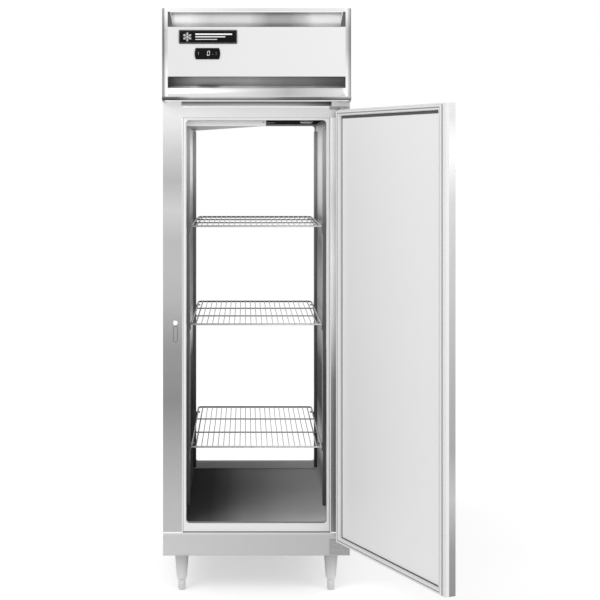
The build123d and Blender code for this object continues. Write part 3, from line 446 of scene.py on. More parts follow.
# %% Shapes
def join_rings(bm, rings, closed, slots=None):
    """Faces between successive rings of vertices; closed joins the last ring back to the first."""
    count = len(rings) if closed else len(rings) - 1
    for index in range(count):
        first, second = rings[index], rings[(index + 1) % len(rings)]
        for step in range(len(first)):
            after = (step + 1) % len(first)
            face = bm.faces.new((first[step], first[after], second[after], second[step]))
            face.material_index = slots[index] if slots else 0


def rounded_loop(box, radius, steps=5):
    """Points round a rectangle (low x, low z, high x, high z) with rounded corners."""
    radius = max(radius, 0.1)
    centres = [(box[2] - radius, box[1] + radius, -90), (box[2] - radius, box[3] - radius, 0),
               (box[0] + radius, box[3] - radius, 90), (box[0] + radius, box[1] + radius, 180)]
    points = []
    for x, z, start in centres:
        for step in range(steps + 1):
            angle = radians(start + 90 * step / steps)
            points.append((x + radius * cos(angle), z + radius * sin(angle)))
    return points


def frame_strip(bm, outer, inner, corners, profile, place, slots=None):
    """A strip round an opening. Profile points are (share of the way from outer to inner box, depth)."""
    rings = []
    for share, depth in profile:
        box = [o + (i - o) * share for o, i in zip(outer, inner)]
        radius = corners[0] + (corners[1] - corners[0]) * share
        rings.append([bm.verts.new(place(x, depth, z)) for x, z in rounded_loop(box, radius)])
    join_rings(bm, rings, True, slots)


def lathe(bm, profile, centre, place=on_front, segments=32, slots=None):
    """A closed profile of (radius, height) turned about an upright axis at centre (x, y)."""
    rings = []
    for radius, height in profile:
        turns = [2 * pi * step / segments for step in range(segments)]
        rings.append([bm.verts.new(place(centre[0] + max(radius, 0.05) * cos(t),
                                         centre[1] + max(radius, 0.05) * sin(t), height)) for t in turns])
    join_rings(bm, rings, True, slots)


def prism(bm, outline, front, back, place, ease=0.0, slot=0):
    """An outline of (x, z) points as a plate from depth front to back, its front edge eased."""
    middle = [sum(p[axis] for p in outline) / len(outline) for axis in (0, 1)]
    spans = [max(abs(p[axis] - middle[axis]) for p in outline) for axis in (0, 1)]
    rings = []
    for inset, depth in ((ease, front), (0.3 * ease, front + 0.3 * ease), (0.0, front + ease), (0.0, back)):
        scales = [1 - inset / span for span in spans]
        rings.append([bm.verts.new(place(middle[0] + (x - middle[0]) * scales[0], depth,
                                         middle[1] + (z - middle[1]) * scales[1])) for x, z in outline])
    join_rings(bm, rings, False, [slot] * (len(rings) - 1))
    for ring in (rings[0], rings[-1]):
        bm.faces.new(ring).material_index = slot


def box_outline(x, z, width, height):
    """A rectangle round a centre."""
    return [(x - width / 2, z - height / 2), (x + width / 2, z - height / 2),
            (x + width / 2, z + height / 2), (x - width / 2, z + height / 2)]


def publish(bm, name, finish_names, body, *replaced, sharp=35):
    """Turns the drawn mesh into a piece that rides on a body and stands for some nodes."""
    bmesh.ops.remove_doubles(bm, verts=bm.verts, dist=1e-6)
    bmesh.ops.recalc_face_normals(bm, faces=bm.faces)
    mesh = bpy.data.meshes.new(name)
    bm.to_mesh(mesh)
    bm.free()
    for finish_name in finish_names:
        mesh.materials.append(finish[finish_name])
    mesh.polygons.foreach_set("use_smooth", [True] * len(mesh.polygons))
    mesh.set_sharp_from_angle(angle=radians(sharp))
    piece = bpy.data.objects.new(name, mesh)
    scene.collection.objects.link(piece)
    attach(piece, body)
    if replaced:
        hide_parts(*replaced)
    print(name, "faces", len(mesh.polygons))
    return piece


# %% [markdown]
# ## Growing repeated things
# Wires, fins, guard rings and screws repeat by a rule, so each kind is a Geometry Nodes tree with named
# inputs. A tree runs once on a host mesh, the result is kept as a plain mesh, and the host is thrown
# away. Editing a pitch or a count then remakes the whole row, which a hand-placed copy would not.


# %% Node tree helpers
def new_tree(name, inputs):
    """A Geometry Nodes group with the given (label, socket type) inputs.

    Returns tree, input and output nodes."""
    tree = bpy.data.node_groups.new(name, "GeometryNodeTree")
    tree.interface.new_socket("Geometry", in_out="INPUT", socket_type="NodeSocketGeometry")
    for label, kind in inputs:
        tree.interface.new_socket(label, in_out="INPUT", socket_type="NodeSocket" + kind)
    tree.interface.new_socket("Geometry", in_out="OUTPUT", socket_type="NodeSocketGeometry")
    return tree, tree.nodes.new("NodeGroupInput"), tree.nodes.new("NodeGroupOutput")


def math_node(tree, operation, *values):
    """A Math node fed by sockets or plain numbers; returns its output."""
    node = tree.nodes.new("ShaderNodeMath")
    node.operation = operation
    for socket, value in zip(node.inputs, values):
        if isinstance(value, (int, float)):
            socket.default_value = value
        else:
            tree.links.new(value, socket)
    return node.outputs["Value"]


def vector_node(tree, x=0.0, y=0.0, z=0.0):
    """A Combine XYZ node fed by sockets or plain numbers; returns its output."""
    node = tree.nodes.new("ShaderNodeCombineXYZ")
    for socket, value in zip(node.inputs, (x, y, z)):
        if isinstance(value, (int, float)):
            socket.default_value = value
        else:
            tree.links.new(value, socket)
    return node.outputs["Vector"]


def row_of_bars(tree, count, start, step, radius, length, turn, sides=8):
    """Cylinders set out in a row: count, start and step as sockets, turn as an Euler angle."""
    row = tree.nodes.new("GeometryNodeMeshLine")
    bar = tree.nodes.new("GeometryNodeMeshCylinder")
    bar.inputs["Vertices"].default_value = sides
    copies = tree.nodes.new("GeometryNodeInstanceOnPoints")
    copies.inputs["Rotation"].default_value = turn
    tree.links.new(count, row.inputs["Count"])
    tree.links.new(start, row.inputs["Start Location"])
    tree.links.new(step, row.inputs["Offset"])
    tree.links.new(radius, bar.inputs["Radius"])
    tree.links.new(length, bar.inputs["Depth"])
    tree.links.new(row.outputs["Mesh"], copies.inputs["Points"])
    tree.links.new(bar.outputs["Mesh"], copies.inputs["Instance"])
    return copies.outputs["Instances"]


def finish_tree(tree, group_output, material, *parts):
    """Joins the parts, realizes them and sets the material."""
    join = tree.nodes.new("GeometryNodeJoinGeometry")
    real = tree.nodes.new("GeometryNodeRealizeInstances")
    paint = tree.nodes.new("GeometryNodeSetMaterial")
    for part in parts:
        tree.links.new(part, join.inputs["Geometry"])
    tree.links.new(join.outputs["Geometry"], real.inputs["Geometry"])
    tree.links.new(real.outputs["Geometry"], paint.inputs["Geometry"])
    tree.links.new(material, paint.inputs["Material"])
    tree.links.new(paint.outputs["Geometry"], group_output.inputs["Geometry"])


def grow(name, tree, points, values, at, body, *replaced):
    """Runs a tree on some points, keeps the result as a plain mesh at a place, and rides it on a body."""
    mesh = bpy.data.meshes.new(name + "_points")
    mesh.from_pydata(points, [], [])
    host = bpy.data.objects.new(name + "_host", mesh)
    scene.collection.objects.link(host)
    modifier = host.modifiers.new("grow", "NODES")
    modifier.node_group = tree
    for item in tree.interface.items_tree:
        if item.in_out == "INPUT" and item.name in values:
            modifier[item.identifier] = values[item.name]
    bpy.context.view_layer.update()
    grown = bpy.data.meshes.new_from_object(host.evaluated_get(bpy.context.evaluated_depsgraph_get()))
    host.modifiers.remove(modifier)
    bpy.data.objects.remove(host)
    grown.transform(Matrix.Translation(at))
    grown.polygons.foreach_set("use_smooth", [True] * len(grown.polygons))
    grown.set_sharp_from_angle(angle=radians(35))
    piece = bpy.data.objects.new(name, grown)
    scene.collection.objects.link(piece)
    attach(piece, body)
    if replaced:
        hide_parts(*replaced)
    print(name, "faces", len(grown.polygons))
    return piece


# %% [markdown]
# ## Wire shelves
# Each shelf is a welded grid: a bent frame, four cross wires and a deck of thin wires running front to
# back. A flat plane with a printed grid would vanish edge-on, and modelling wires one by one fixes the
# pitch for good. The tree takes the frame's width and depth from the measured node and counts its own
# wires.

# %% Wire shelf tree
shelf_tree, shelf_in, shelf_out = new_tree("wire shelf", [
    ("Width", "Float"), ("Depth", "Float"), ("Pitch", "Float"), ("Deck radius", "Float"),
    ("Frame radius", "Float"), ("Cross radius", "Float"), ("Crosses", "Int"), ("Corner", "Float"),
    ("Material", "Material")])
given = shelf_in.outputs
outline = shelf_tree.nodes.new("GeometryNodeCurvePrimitiveQuadrilateral")
bend = shelf_tree.nodes.new("GeometryNodeFilletCurve")
bend.mode = "POLY"
bend.inputs["Count"].default_value = 5
section = shelf_tree.nodes.new("GeometryNodeCurvePrimitiveCircle")
section.inputs["Resolution"].default_value = 12
pipe = shelf_tree.nodes.new("GeometryNodeCurveToMesh")
shelf_tree.links.new(given["Width"], outline.inputs["Width"])
shelf_tree.links.new(given["Depth"], outline.inputs["Height"])
shelf_tree.links.new(outline.outputs["Curve"], bend.inputs["Curve"])
shelf_tree.links.new(given["Corner"], bend.inputs["Radius"])
shelf_tree.links.new(given["Frame radius"], section.inputs["Radius"])
shelf_tree.links.new(bend.outputs["Curve"], pipe.inputs["Curve"])
shelf_tree.links.new(section.outputs["Curve"], pipe.inputs["Profile Curve"])
deck_count = math_node(shelf_tree, "FLOOR", math_node(shelf_tree, "DIVIDE", given["Width"], given["Pitch"]))
deck_start = math_node(shelf_tree, "MULTIPLY", math_node(shelf_tree, "MULTIPLY", given["Pitch"], -0.5),
                       math_node(shelf_tree, "SUBTRACT", deck_count, 1.0))
deck_height = math_node(shelf_tree, "ADD", given["Deck radius"], given["Cross radius"])
deck = row_of_bars(shelf_tree, deck_count, vector_node(shelf_tree, deck_start, 0.0, deck_height),
                   vector_node(shelf_tree, given["Pitch"]), given["Deck radius"], given["Depth"],
                   (pi / 2, 0, 0))
cross_gap = math_node(shelf_tree, "DIVIDE", given["Depth"],
                      math_node(shelf_tree, "SUBTRACT", given["Crosses"], 1.0))
cross_start = math_node(shelf_tree, "MULTIPLY", given["Depth"], -0.5)
crosses = row_of_bars(shelf_tree, given["Crosses"], vector_node(shelf_tree, 0.0, cross_start),
                      vector_node(shelf_tree, 0.0, cross_gap), given["Cross radius"], given["Width"],
                      (0, pi / 2, 0))
rail_gap = math_node(shelf_tree, "SUBTRACT", given["Width"], 0.034)
rail_start = math_node(shelf_tree, "MULTIPLY", rail_gap, -0.5)
two = shelf_tree.nodes.new("FunctionNodeInputInt")
two.integer = 2
rails = row_of_bars(shelf_tree, two.outputs["Integer"], vector_node(shelf_tree, rail_start),
                    vector_node(shelf_tree, rail_gap), given["Cross radius"], given["Depth"], (pi / 2, 0, 0))
finish_tree(shelf_tree, shelf_out, given["Material"], pipe.outputs["Mesh"], deck, crosses, rails)
print("shelf tree nodes", len(shelf_tree.nodes))

# %% Shelves
FRAME_WIRE = 3.5 * MM
DECK_WIRE = 1.6 * MM
CROSS_WIRE = 2.5 * MM
for shelf_name in ("bottom_shelf", "middle_shelf", "top_shelf"):
    low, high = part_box(shelf_name)
    grow(shelf_name + "_wires", shelf_tree, [(0, 0, 0)],
         {"Width": high.x - low.x - 2 * FRAME_WIRE, "Depth": high.y - low.y - 2 * FRAME_WIRE,
          "Pitch": 19.5 * MM,
          "Deck radius": DECK_WIRE, "Frame radius": FRAME_WIRE, "Cross radius": CROSS_WIRE, "Crosses": 4,
          "Corner": 12 * MM, "Material": finish["wire"]},
         ((low.x + high.x) / 2, (low.y + high.y) / 2, low.z + FRAME_WIRE), shelf_name, shelf_name)

# %% [markdown]
# ## Frames and gaskets
# The vinyl frame round each opening hides the joint between skin and liner, with a soft lip that the
# gasket closes on. The gasket is a hollow extrusion with a bead, a groove and a second bead; its groove
# faces carry painted shade, and inside it a dark strip paints the shadow under the gasket, widest along
# the top. Both are one profile carried round a rounded rectangle, so the corners mitre themselves.

# %% Breaker frames
sheet_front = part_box("front_breaker_frame")[0].y / MM
frame_low, frame_high = [tuple(c / MM for c in corner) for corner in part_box("front_breaker_frame")]
liner_back = frame_high[1]
FRAME_SIDE = 12.0
FRAME_TOP = 8.0
SILLS = {"front": 33.0, "rear": 62.0}
OPENING_CORNER = 12.0


def breaker_frame(side):
    """The vinyl frame of one opening: a dark seam, a raised lip and a return into the liner, which carries
    painted shade and a painted reflection.
    """
    place = HALVES[side][0]
    outer = (frame_low[0], frame_low[2], frame_high[0], frame_high[2])
    inner = (outer[0] + FRAME_SIDE, outer[1] + SILLS[side], outer[2] - FRAME_SIDE, outer[3] - FRAME_TOP)
    front = sheet_front
    profile = [(0.0, front + 1.5), (0.10, front + 1.5), (0.14, front + 0.1), (0.2, front - 0.25),
               (0.75, front - 0.25), (0.88, front + 0.1), (0.96, front + 1.0), (1.0, front + 3.0),
               (1.0, liner_back), (0.0, liner_back)]
    bm = bmesh.new()
    frame_strip(bm, outer, inner, (0.5, OPENING_CORNER), profile, place, [1, 1, 0, 0, 0, 0, 0, 2, 0, 0])
    publish(bm, side + "_frame", ["breaker", "breaker_groove", "reveal"], "cabinet", side + "_breaker_frame")


for side in HALVES:
    breaker_frame(side)

# %% Door gaskets and their painted shadows
DOOR_LOW, DOOR_HIGH = [corner.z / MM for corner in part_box("front_door_panel")]
DOOR_LATCH_EDGE = -316.0
DOOR_HINGE_EDGE = 318.0
DOOR_FACE = sheet_front - 16.0
GASKET = (DOOR_LATCH_EDGE + 4, DOOR_LOW + 4, DOOR_HINGE_EDGE - 6, DOOR_HIGH - 4)
GASKET_WIDTH = 18.0
GASKET_DEPTH = 15.5
# Widths of the dark strip inside the gasket that paints its shadow: widest along the top, narrow at the
# latch.
GASKET_SHADOW_WIDTHS = {"latch": 2.0, "bottom": 4.0, "hinge": 3.5, "top": 10.0}


def door_gasket(side):
    """A gasket with two beads and painted shade in its grooves, and inside it a dark strip that paints the
    shadow under the gasket.
    """
    place = HALVES[side][1]
    inner = (GASKET[0] + GASKET_WIDTH, GASKET[1] + GASKET_WIDTH, GASKET[2] - GASKET_WIDTH,
             GASKET[3] - GASKET_WIDTH)
    foot, crest = DOOR_FACE + 0.45 * GASKET_DEPTH, DOOR_FACE + GASKET_DEPTH
    profile = [(0.0, DOOR_FACE), (0.0, foot - 1), (0.05, foot), (0.10, foot), (0.12, crest - 1.5),
               (0.17, crest),
               (0.42, crest), (0.47, crest - 1.5), (0.50, crest - 4), (0.60, crest - 4), (0.64, crest - 2),
               (0.70, crest - 1), (0.85, crest - 1.5), (0.94, crest - 4), (1.0, foot), (1.0, DOOR_FACE)]
    # Slot 1 paints shade on the faces down into the grooves.
    groove_shade_slots = [0, 0, 1, 1, 0, 0, 0, 1, 1, 1, 0, 0, 0, 0, 0, 0]
    bm = bmesh.new()
    frame_strip(bm, GASKET, inner, (3.0, 0.5), profile, place, groove_shade_slots)
    publish(bm, side + "_gasket", ["gasket", "gasket_groove_shade"], side + "_door", side + "_door_gasket")
    # The dark strip inside the gasket is a painted shadow.
    window = (inner[0] + GASKET_SHADOW_WIDTHS["latch"], inner[1] + GASKET_SHADOW_WIDTHS["bottom"], inner[2] - GASKET_SHADOW_WIDTHS["hinge"],
              inner[3] - GASKET_SHADOW_WIDTHS["top"])
    bm = bmesh.new()
    rise = DOOR_FACE + 1.2
    frame_strip(bm, inner, window, (0.5, 0.5), [(0.0, DOOR_FACE), (0.0, rise), (0.9, rise),
                                                (1.0, DOOR_FACE)], place)
    publish(bm, side + "_gasket_shadow_strip", ["gasket_shadow"], side + "_door")


for side in HALVES:
    door_gasket(side)

# %% [markdown]
# ## Legs and feet
# The legs are spun tubes that taper to a collar, with a screw foot inside. Turning a profile gives both
# the taper and the rounded foot. The leg keeps its bore, so that the foot can run out without passing
# through it.

# %% Legs and feet
LEG_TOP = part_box("legs")[1].z / MM
FOOT_TOP = 38.0
BORE = 8.2
leg_profile = [(BORE, FOOT_TOP + 0.3), (13.2, FOOT_TOP + 0.3), (15.5, FOOT_TOP + 2.0), (18.4, FOOT_TOP + 8.0),
               (19.0, FOOT_TOP + 14.0), (26.0, LEG_TOP - 5.0), (26.6, LEG_TOP - 3.0), (26.6, LEG_TOP - 0.5),
               (26.0, LEG_TOP), (0.0, LEG_TOP), (0.0, 112.0), (BORE, 112.0)]
foot_profile = [(0.0, 0.0), (9.5, 0.0), (12.2, 1.2), (13.3, 4.0), (13.5, 8.0), (13.0, FOOT_TOP - 2.0),
                (12.2, FOOT_TOP - 0.2), (7.8, FOOT_TOP - 0.2), (7.8, 107.0), (0.0, 107.0)]
bm = bmesh.new()
for foot_name in ("front_left_foot", "front_right_foot", "rear_left_foot", "rear_right_foot"):
    low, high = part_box(foot_name)
    centre = ((low.x + high.x) / 2 / MM, (low.y + high.y) / 2 / MM)
    lathe(bm, leg_profile, centre)
    foot = bmesh.new()
    lathe(foot, foot_profile, centre)
    publish(foot, foot_name + "_turned", ["polished"], foot_name, foot_name)
publish(bm, "legs_turned", ["polished"], "cabinet", "legs")

# %% [markdown]
# ## Hood
# The hood is one pan with two slots. Behind each slot a curved scoop of brushed steel leads the air in;
# its ends, where nothing lights the compartment, are painted shade: dark plates beside the upper scoop and
# darker bands on the lower one. Under the lower slot a bright lip and a rolled edge shed drips. Each is
# drawn once and placed on the front and on the rear.

# %% Hood sizes
cover_low, cover_high = [tuple(c / MM for c in corner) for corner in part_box("front_cover")]
panel_low, panel_high = [tuple(c / MM for c in corner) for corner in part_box("front_cover_panel")]
HOOD_FACE = cover_low[1]
SLOT_HALF = panel_high[0]
UPPER_SLOT = (panel_high[2] - 1.0, panel_high[2] + 53.0)
LOWER_SLOT = (panel_low[2] - 40.0, panel_low[2])
SCOOP_REACH = 34.0
SCOOP_STEPS = 10


def scoop(bm, slot, half_low, half_high, place, index):
    """A curved sheet that leads back and up from a slot's lower edge."""
    rise = slot[1] - slot[0] + 3.0
    rings = []
    for step in range(SCOOP_STEPS + 1):
        turn = 0.5 * pi * step / SCOOP_STEPS
        depth = HOOD_FACE + 2.5 + (SCOOP_REACH - 4) * sin(turn)
        z = slot[0] - 1.5 + rise * (1 - cos(turn))
        half = half_low + (half_high - half_low) * (1 - cos(turn))
        rings.append([bm.verts.new(place(x, d, z)) for x, d in
                      ((-half, depth), (half, depth), (half, depth + 1.2), (-half, depth + 1.2))])
    join_rings(bm, rings, False, [index] * SCOOP_STEPS)
    for ring in (rings[0], rings[-1]):
        bm.faces.new(ring).material_index = index


def slot_cheeks(bm, slot, half_low, half_high, place, index):
    """Dark plates, painted shade, that close the slot past the scoop's slanting ends."""
    for sign in (-1, 1):
        outline = [(sign * SLOT_HALF, slot[0]), (sign * half_low, slot[0]), (sign * half_high, slot[1]),
                   (sign * SLOT_HALF, slot[1])]
        prism(bm, outline, HOOD_FACE + 1.7, HOOD_FACE + 3.0, place, slot=index)


# %% Scoops
bm = bmesh.new()
for side, (place, _) in HALVES.items():
    scoop(bm, UPPER_SLOT, SLOT_HALF - 19, SLOT_HALF - 9, place, 0)
    slot_cheeks(bm, UPPER_SLOT, SLOT_HALF - 19, SLOT_HALF - 9, place, 2)
    scoop(bm, LOWER_SLOT, SLOT_HALF - 3, SLOT_HALF - 3, place, 1)
publish(bm, "air_scoops_curved", ["upper_scoop", "lower_scoop", "gap_shade"], "cabinet", "air_scoops")

# %% Lip, rolled edge and recess with painted shade
LIP = (1761.0, 1788.5)
LIP_SLOPE = 12.0
EDGE = (1743.2, 1759.0)
RECESS_HALF = 265.0
RECESS = (1728.5, 1743.0)
# Height and span of the bright strip that paints a highlight on the header's top edge.
HEADER_HIGHLIGHT = (1725.5, 3.0)


def hood_trim(side):
    """The bright lip under the lower slot, the rolled bottom edge, a flat plate painted with the shade of the
    recess over the header, and a bright strip painted as a highlight on the header's top edge.
    """
    place = HALVES[side][0]
    bm = bmesh.new()
    lip = [(-SLOT_HALF, LIP[0]), (SLOT_HALF, LIP[0]), (SLOT_HALF, LIP[0] + 12),
           (SLOT_HALF - LIP_SLOPE, LIP[1]),
           (LIP_SLOPE - SLOT_HALF, LIP[1]), (-SLOT_HALF, LIP[0] + 12)]
    prism(bm, lip, HOOD_FACE - 2.5, HOOD_FACE - 0.05, place, ease=1.5, slot=0)
    rings = []
    for depth, z, half in ((-1.0, EDGE[1], 330), (-1.4, EDGE[1] - 1, 330), (-1.4, EDGE[0] + 7, 330),
                           (-0.6, EDGE[0] + 3, 328), (1.5, EDGE[0], 325), (6.0, EDGE[0], 325)):
        rings.append([bm.verts.new(place(x, d, z)) for x, d in
                      ((-half, HOOD_FACE + depth), (half, HOOD_FACE + depth),
                       (half, HOOD_FACE + max(depth, -0.05)), (-half, HOOD_FACE + max(depth, -0.05)))])
    join_rings(bm, rings[:4], False, [1] * 3)
    for ring in (rings[0], rings[3]):
        bm.faces.new(ring).material_index = 1
    header_face = sheet_front
    # A flat plate just proud of the header, painted with the shade of the recess under the hood.
    prism(bm, box_outline(0, (RECESS[0] + RECESS[1]) / 2, 2 * RECESS_HALF, RECESS[1] - RECESS[0]),
          header_face - 0.5, header_face - 0.05,
          place, slot=2)
    # A bright strip is a painted highlight along the header's top edge.
    prism(bm, box_outline(0, HEADER_HIGHLIGHT[0], 2 * RECESS_HALF, HEADER_HIGHLIGHT[1]), header_face - 1.2,
          header_face - 0.05, place,
          ease=0.4, slot=3)
    publish(bm, side + "_hood_trim", ["lip", "drip", "recess", "bright"], "cabinet")


for side in HALVES:
    hood_trim(side)

# %% [markdown]
# ## Badge and controller
# The badge is a black plate with a fine border, a snowflake and a few plain bars.
# The controller is a black moulding with bowed ends, a digit made of seven segments, and a key at each end.

# %% Badge
badge_low, badge_high = [tuple(c / MM for c in corner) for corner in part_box("badge_plate")]
BADGE_X, BADGE_Z = (badge_low[0] + badge_high[0]) / 2, (badge_low[2] + badge_high[2]) / 2
BADGE_FACE = badge_low[1]
PRINT = 0.4


def bar(bm, x, z, length, width, angle, face, slot, place=on_front):
    """A thin printed bar that starts at a point and runs at an angle."""
    along, across = Vector((cos(angle), sin(angle))), Vector((-sin(angle), cos(angle)))
    start = Vector((x, z))
    corners = [start - across * width / 2, start + along * length - across * width / 2,
               start + along * length + across * width / 2, start + across * width / 2]
    prism(bm, [tuple(c) for c in corners], face - PRINT, face - 0.02, place, slot=slot)


def snowflake(bm, x, z, radius, face, slot):
    """Six arms, each with a pair of side branches."""
    for arm in range(6):
        angle = pi / 6 + arm * pi / 3
        bar(bm, x, z, radius, 1.5, angle, face, slot)
        for share in (0.45, 0.7):
            for turn in (-pi / 3, pi / 3):
                bar(bm, x + share * radius * cos(angle), z + share * radius * sin(angle), 0.28 * radius, 1.2,
                    angle + turn, face, slot)


bm = bmesh.new()
outer = (badge_low[0], badge_low[2], badge_high[0], badge_high[2])
prism(bm, rounded_loop(outer, 4.0), BADGE_FACE, badge_high[1] - 0.05, on_front, ease=0.8, slot=0)
border = [value + inset for value, inset in zip(outer, (2.2, 2.2, -2.2, -2.2))]
inside = [value + inset for value, inset in zip(outer, (3.0, 3.0, -3.0, -3.0))]
frame_strip(bm, border, inside, (2.5, 2.0), [(0, BADGE_FACE - 0.02), (0, BADGE_FACE - 0.25),
                                             (1, BADGE_FACE - 0.25), (1, BADGE_FACE - 0.02)], on_front,
                                             [2] * 4)
snowflake(bm, BADGE_X - 72, BADGE_Z, 16, BADGE_FACE, 1)
for row, (length, width) in enumerate(((128, 5.0), (104, 3.5), (76, 2.0))):
    bar(bm, BADGE_X - 44, BADGE_Z + 9 - 9 * row, length, width, 0, BADGE_FACE, 1)
publish(bm, "badge", ["black", "glyph", "dim_glyph"], "cabinet", "badge_plate")

# %% Controller
ctl_low, ctl_high = [tuple(c / MM for c in corner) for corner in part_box("controller")]
CTL_X, CTL_Z = (ctl_low[0] + ctl_high[0]) / 2, (ctl_low[2] + ctl_high[2]) / 2
CTL_WIDTH, CTL_HEIGHT = ctl_high[0] - ctl_low[0], ctl_high[2] - ctl_low[2]
CTL_FACE = ctl_low[1] - 0.8
BOW = 4.0


def bowed_outline(x, z, width, height, bow, steps=8):
    """A rectangle whose left and right ends bow outwards."""
    points = []
    for sign, start in ((1, -1), (-1, 1)):
        for step in range(steps + 1):
            share = start * (1 - 2 * step / steps)
            bulge = bow * (1 - share * share)
            points.append((x + sign * (width / 2 - bow + bulge), z + share * height / 2))
    return points


def seven_segments(bm, x, z, height, lit, slot):
    """A slanted seven-segment digit, with small gaps where the segments meet."""
    width, thick, slant = 0.5 * height, 0.11 * height, 0.14
    half, short = height / 2, 0.8
    flats = {"a": half, "g": 0.0, "d": -half}
    posts = {"b": (1, 1), "c": (1, -1), "e": (-1, -1), "f": (-1, 1)}
    for key in lit:
        if key in flats:
            level = flats[key]
            bar(bm, x - short * width / 2 + slant * level, z + level, short * width, thick, 0, CTL_FACE, slot)
        else:
            side, level = posts[key]
            foot = level * half / 2 - short * half / 2
            bar(bm, x + side * width / 2 + slant * foot, z + foot, short * half, thick, pi / 2 - slant,
                CTL_FACE, slot)


bm = bmesh.new()
prism(bm, bowed_outline(CTL_X, CTL_Z, CTL_WIDTH, CTL_HEIGHT, BOW), CTL_FACE, HOOD_FACE - 0.05, on_front,
      ease=1.6)
prism(bm, box_outline(CTL_X, CTL_Z, CTL_WIDTH - 18, CTL_HEIGHT - 10), HOOD_FACE + 2.5, ctl_high[1], on_front)
seven_segments(bm, CTL_X + 4, CTL_Z + 1, 15, "abcdef", 1)
bar(bm, CTL_X + 18, CTL_Z - 4, 3.0, 1.4, 0.9, CTL_FACE, 2)
publish(bm, "controller_front", ["black", "glyph", "dim_glyph"], "cabinet", "controller")
for key_name, glyph in (("left_key", "arrow"), ("right_key", "dots")):
    low, high = [tuple(c / MM for c in corner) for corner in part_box(key_name)]
    x, z, face = (low[0] + high[0]) / 2, (low[2] + high[2]) / 2, CTL_FACE - 1.0
    bm = bmesh.new()
    prism(bm, rounded_loop((x - 4, z - 8, x + 4, z + 8), 1.5), face, CTL_FACE - 0.05, on_front, ease=0.4)
    if glyph == "arrow":
        bar(bm, x, z - 5, 10, 1.1, pi / 2, face, 1)
        for turn in (-2.4, 2.4):
            bar(bm, x, z + 5, 3.5, 1.1, pi / 2 + turn, face, 1)
    else:
        bar(bm, x - 1.5, z + 3, 2.6, 2.4, 0, face, 1)
        bar(bm, x - 1.5, z - 4, 2.6, 1.2, 0, face, 1)
    publish(bm, key_name + "_cap", ["black", "dim_glyph"], key_name, key_name)

# %% [markdown]
# ## Small fittings
# The strike on the latch side is a slot with a bright boss over it, let into the stile. Inside, a shallow
# white baffle hangs under the ceiling on the latch side. Thin bright strips paint the highlights at the foot
# of each stile on the rail and along each stile's inner edge.

# %% Strike
strike_low, strike_high = [tuple(c / MM for c in corner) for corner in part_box("strike_plate")]
STRIKE_X = (strike_low[0] + strike_high[0]) / 2
bm = bmesh.new()
prism(bm, box_outline(STRIKE_X, (strike_low[2] + strike_high[2]) / 2, strike_high[0] - strike_low[0],
                      strike_high[2] - strike_low[2]), strike_low[1] + 0.1, strike_high[1], on_front, slot=0)
slot_box = (STRIKE_X - 8.5, strike_low[2] + 4, STRIKE_X + 8.5, strike_low[2] + 62)
slot_inner = [value + inset for value, inset in zip(slot_box, (2.6, 2.6, -2.6, -2.6))]
face = strike_low[1]
frame_strip(bm, slot_box, slot_inner, (8.0, 5.5), [(0, face + 0.08), (0.2, face - 0.5), (0.8, face - 0.5),
                                                   (1, face + 0.08)], on_front, [1] * 4)
rings = []
BOSS_Z = strike_high[2] - 12
for radius, depth in ((9.0, 0.0), (8.4, -1.6), (6.4, -3.0), (3.4, -3.8), (0.2, -4.0)):
    turns = [2 * pi * step / 24 for step in range(24)]
    rings.append([bm.verts.new(on_front(STRIKE_X + radius * cos(t), face + depth, BOSS_Z + radius * sin(t)))
                  for t in turns])
join_rings(bm, rings, False, [2] * 4)
for ring in (rings[0], rings[-1]):
    bm.faces.new(ring).material_index = 2
publish(bm, "strike", ["stile", "breaker_groove", "bright"], "cabinet", "strike_plate")

# %% Ceiling baffle
baffle_low, baffle_high = [tuple(c / MM for c in corner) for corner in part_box("ceiling_baffle")]
bm = bmesh.new()
plan = [(baffle_low[0], baffle_low[1]), (baffle_high[0] - 2, baffle_low[1]),
        (baffle_high[0], baffle_low[1] + 3),
        (baffle_high[0] - 6, baffle_low[1] + 8), (baffle_low[0], baffle_high[1])]
rings = []
for inset, z in ((1.5, baffle_low[2]), (0.4, baffle_low[2] + 0.8), (0, baffle_low[2] + 2),
                 (0, baffle_high[2] - 0.2)):
    rings.append([bm.verts.new(on_front(x - inset * (x > 0), y + inset * (y < baffle_low[1] + 1), z)) for x,
                  y in plan])
join_rings(bm, rings, False)
bm.faces.new(rings[0]).material_index = 1
bm.faces.new(rings[-1])
publish(bm, "baffle", ["white", "under"], "cabinet", "ceiling_baffle")

# %% Stile highlight strips
# Thin bright strips just proud of each stile are painted highlights: one along its foot on the rail, one
# along its inner edge.
HIGHLIGHT_RISE = 0.25
FOOT_HIGHLIGHT = (296.5, 66, 2.6)
EDGE_HIGHLIGHT = (261.5, 955, 1.8, 1462)
bm = bmesh.new()
for side, (place, _) in HALVES.items():
    for sign in (-1, 1):
        prism(bm, box_outline(sign * FOOT_HIGHLIGHT[0], frame_low[2] + 0.6, *FOOT_HIGHLIGHT[1:]),
              sheet_front - HIGHLIGHT_RISE, sheet_front - 0.05, place,
              ease=0.1)
        prism(bm, box_outline(sign * EDGE_HIGHLIGHT[0], *EDGE_HIGHLIGHT[1:]), sheet_front - HIGHLIGHT_RISE,
              sheet_front - 0.05, place,
              ease=0.1)
publish(bm, "stile_highlight_strips", ["bright"], "cabinet")

# %% [markdown]
# ## Condensing unit
# Behind the hood stand the coil, its fan with a wire guard, and a welded compressor. The fins and the
# guard are grown by rule; the compressor is a turned shell with a domed top, a weld seam and a terminal
# box.

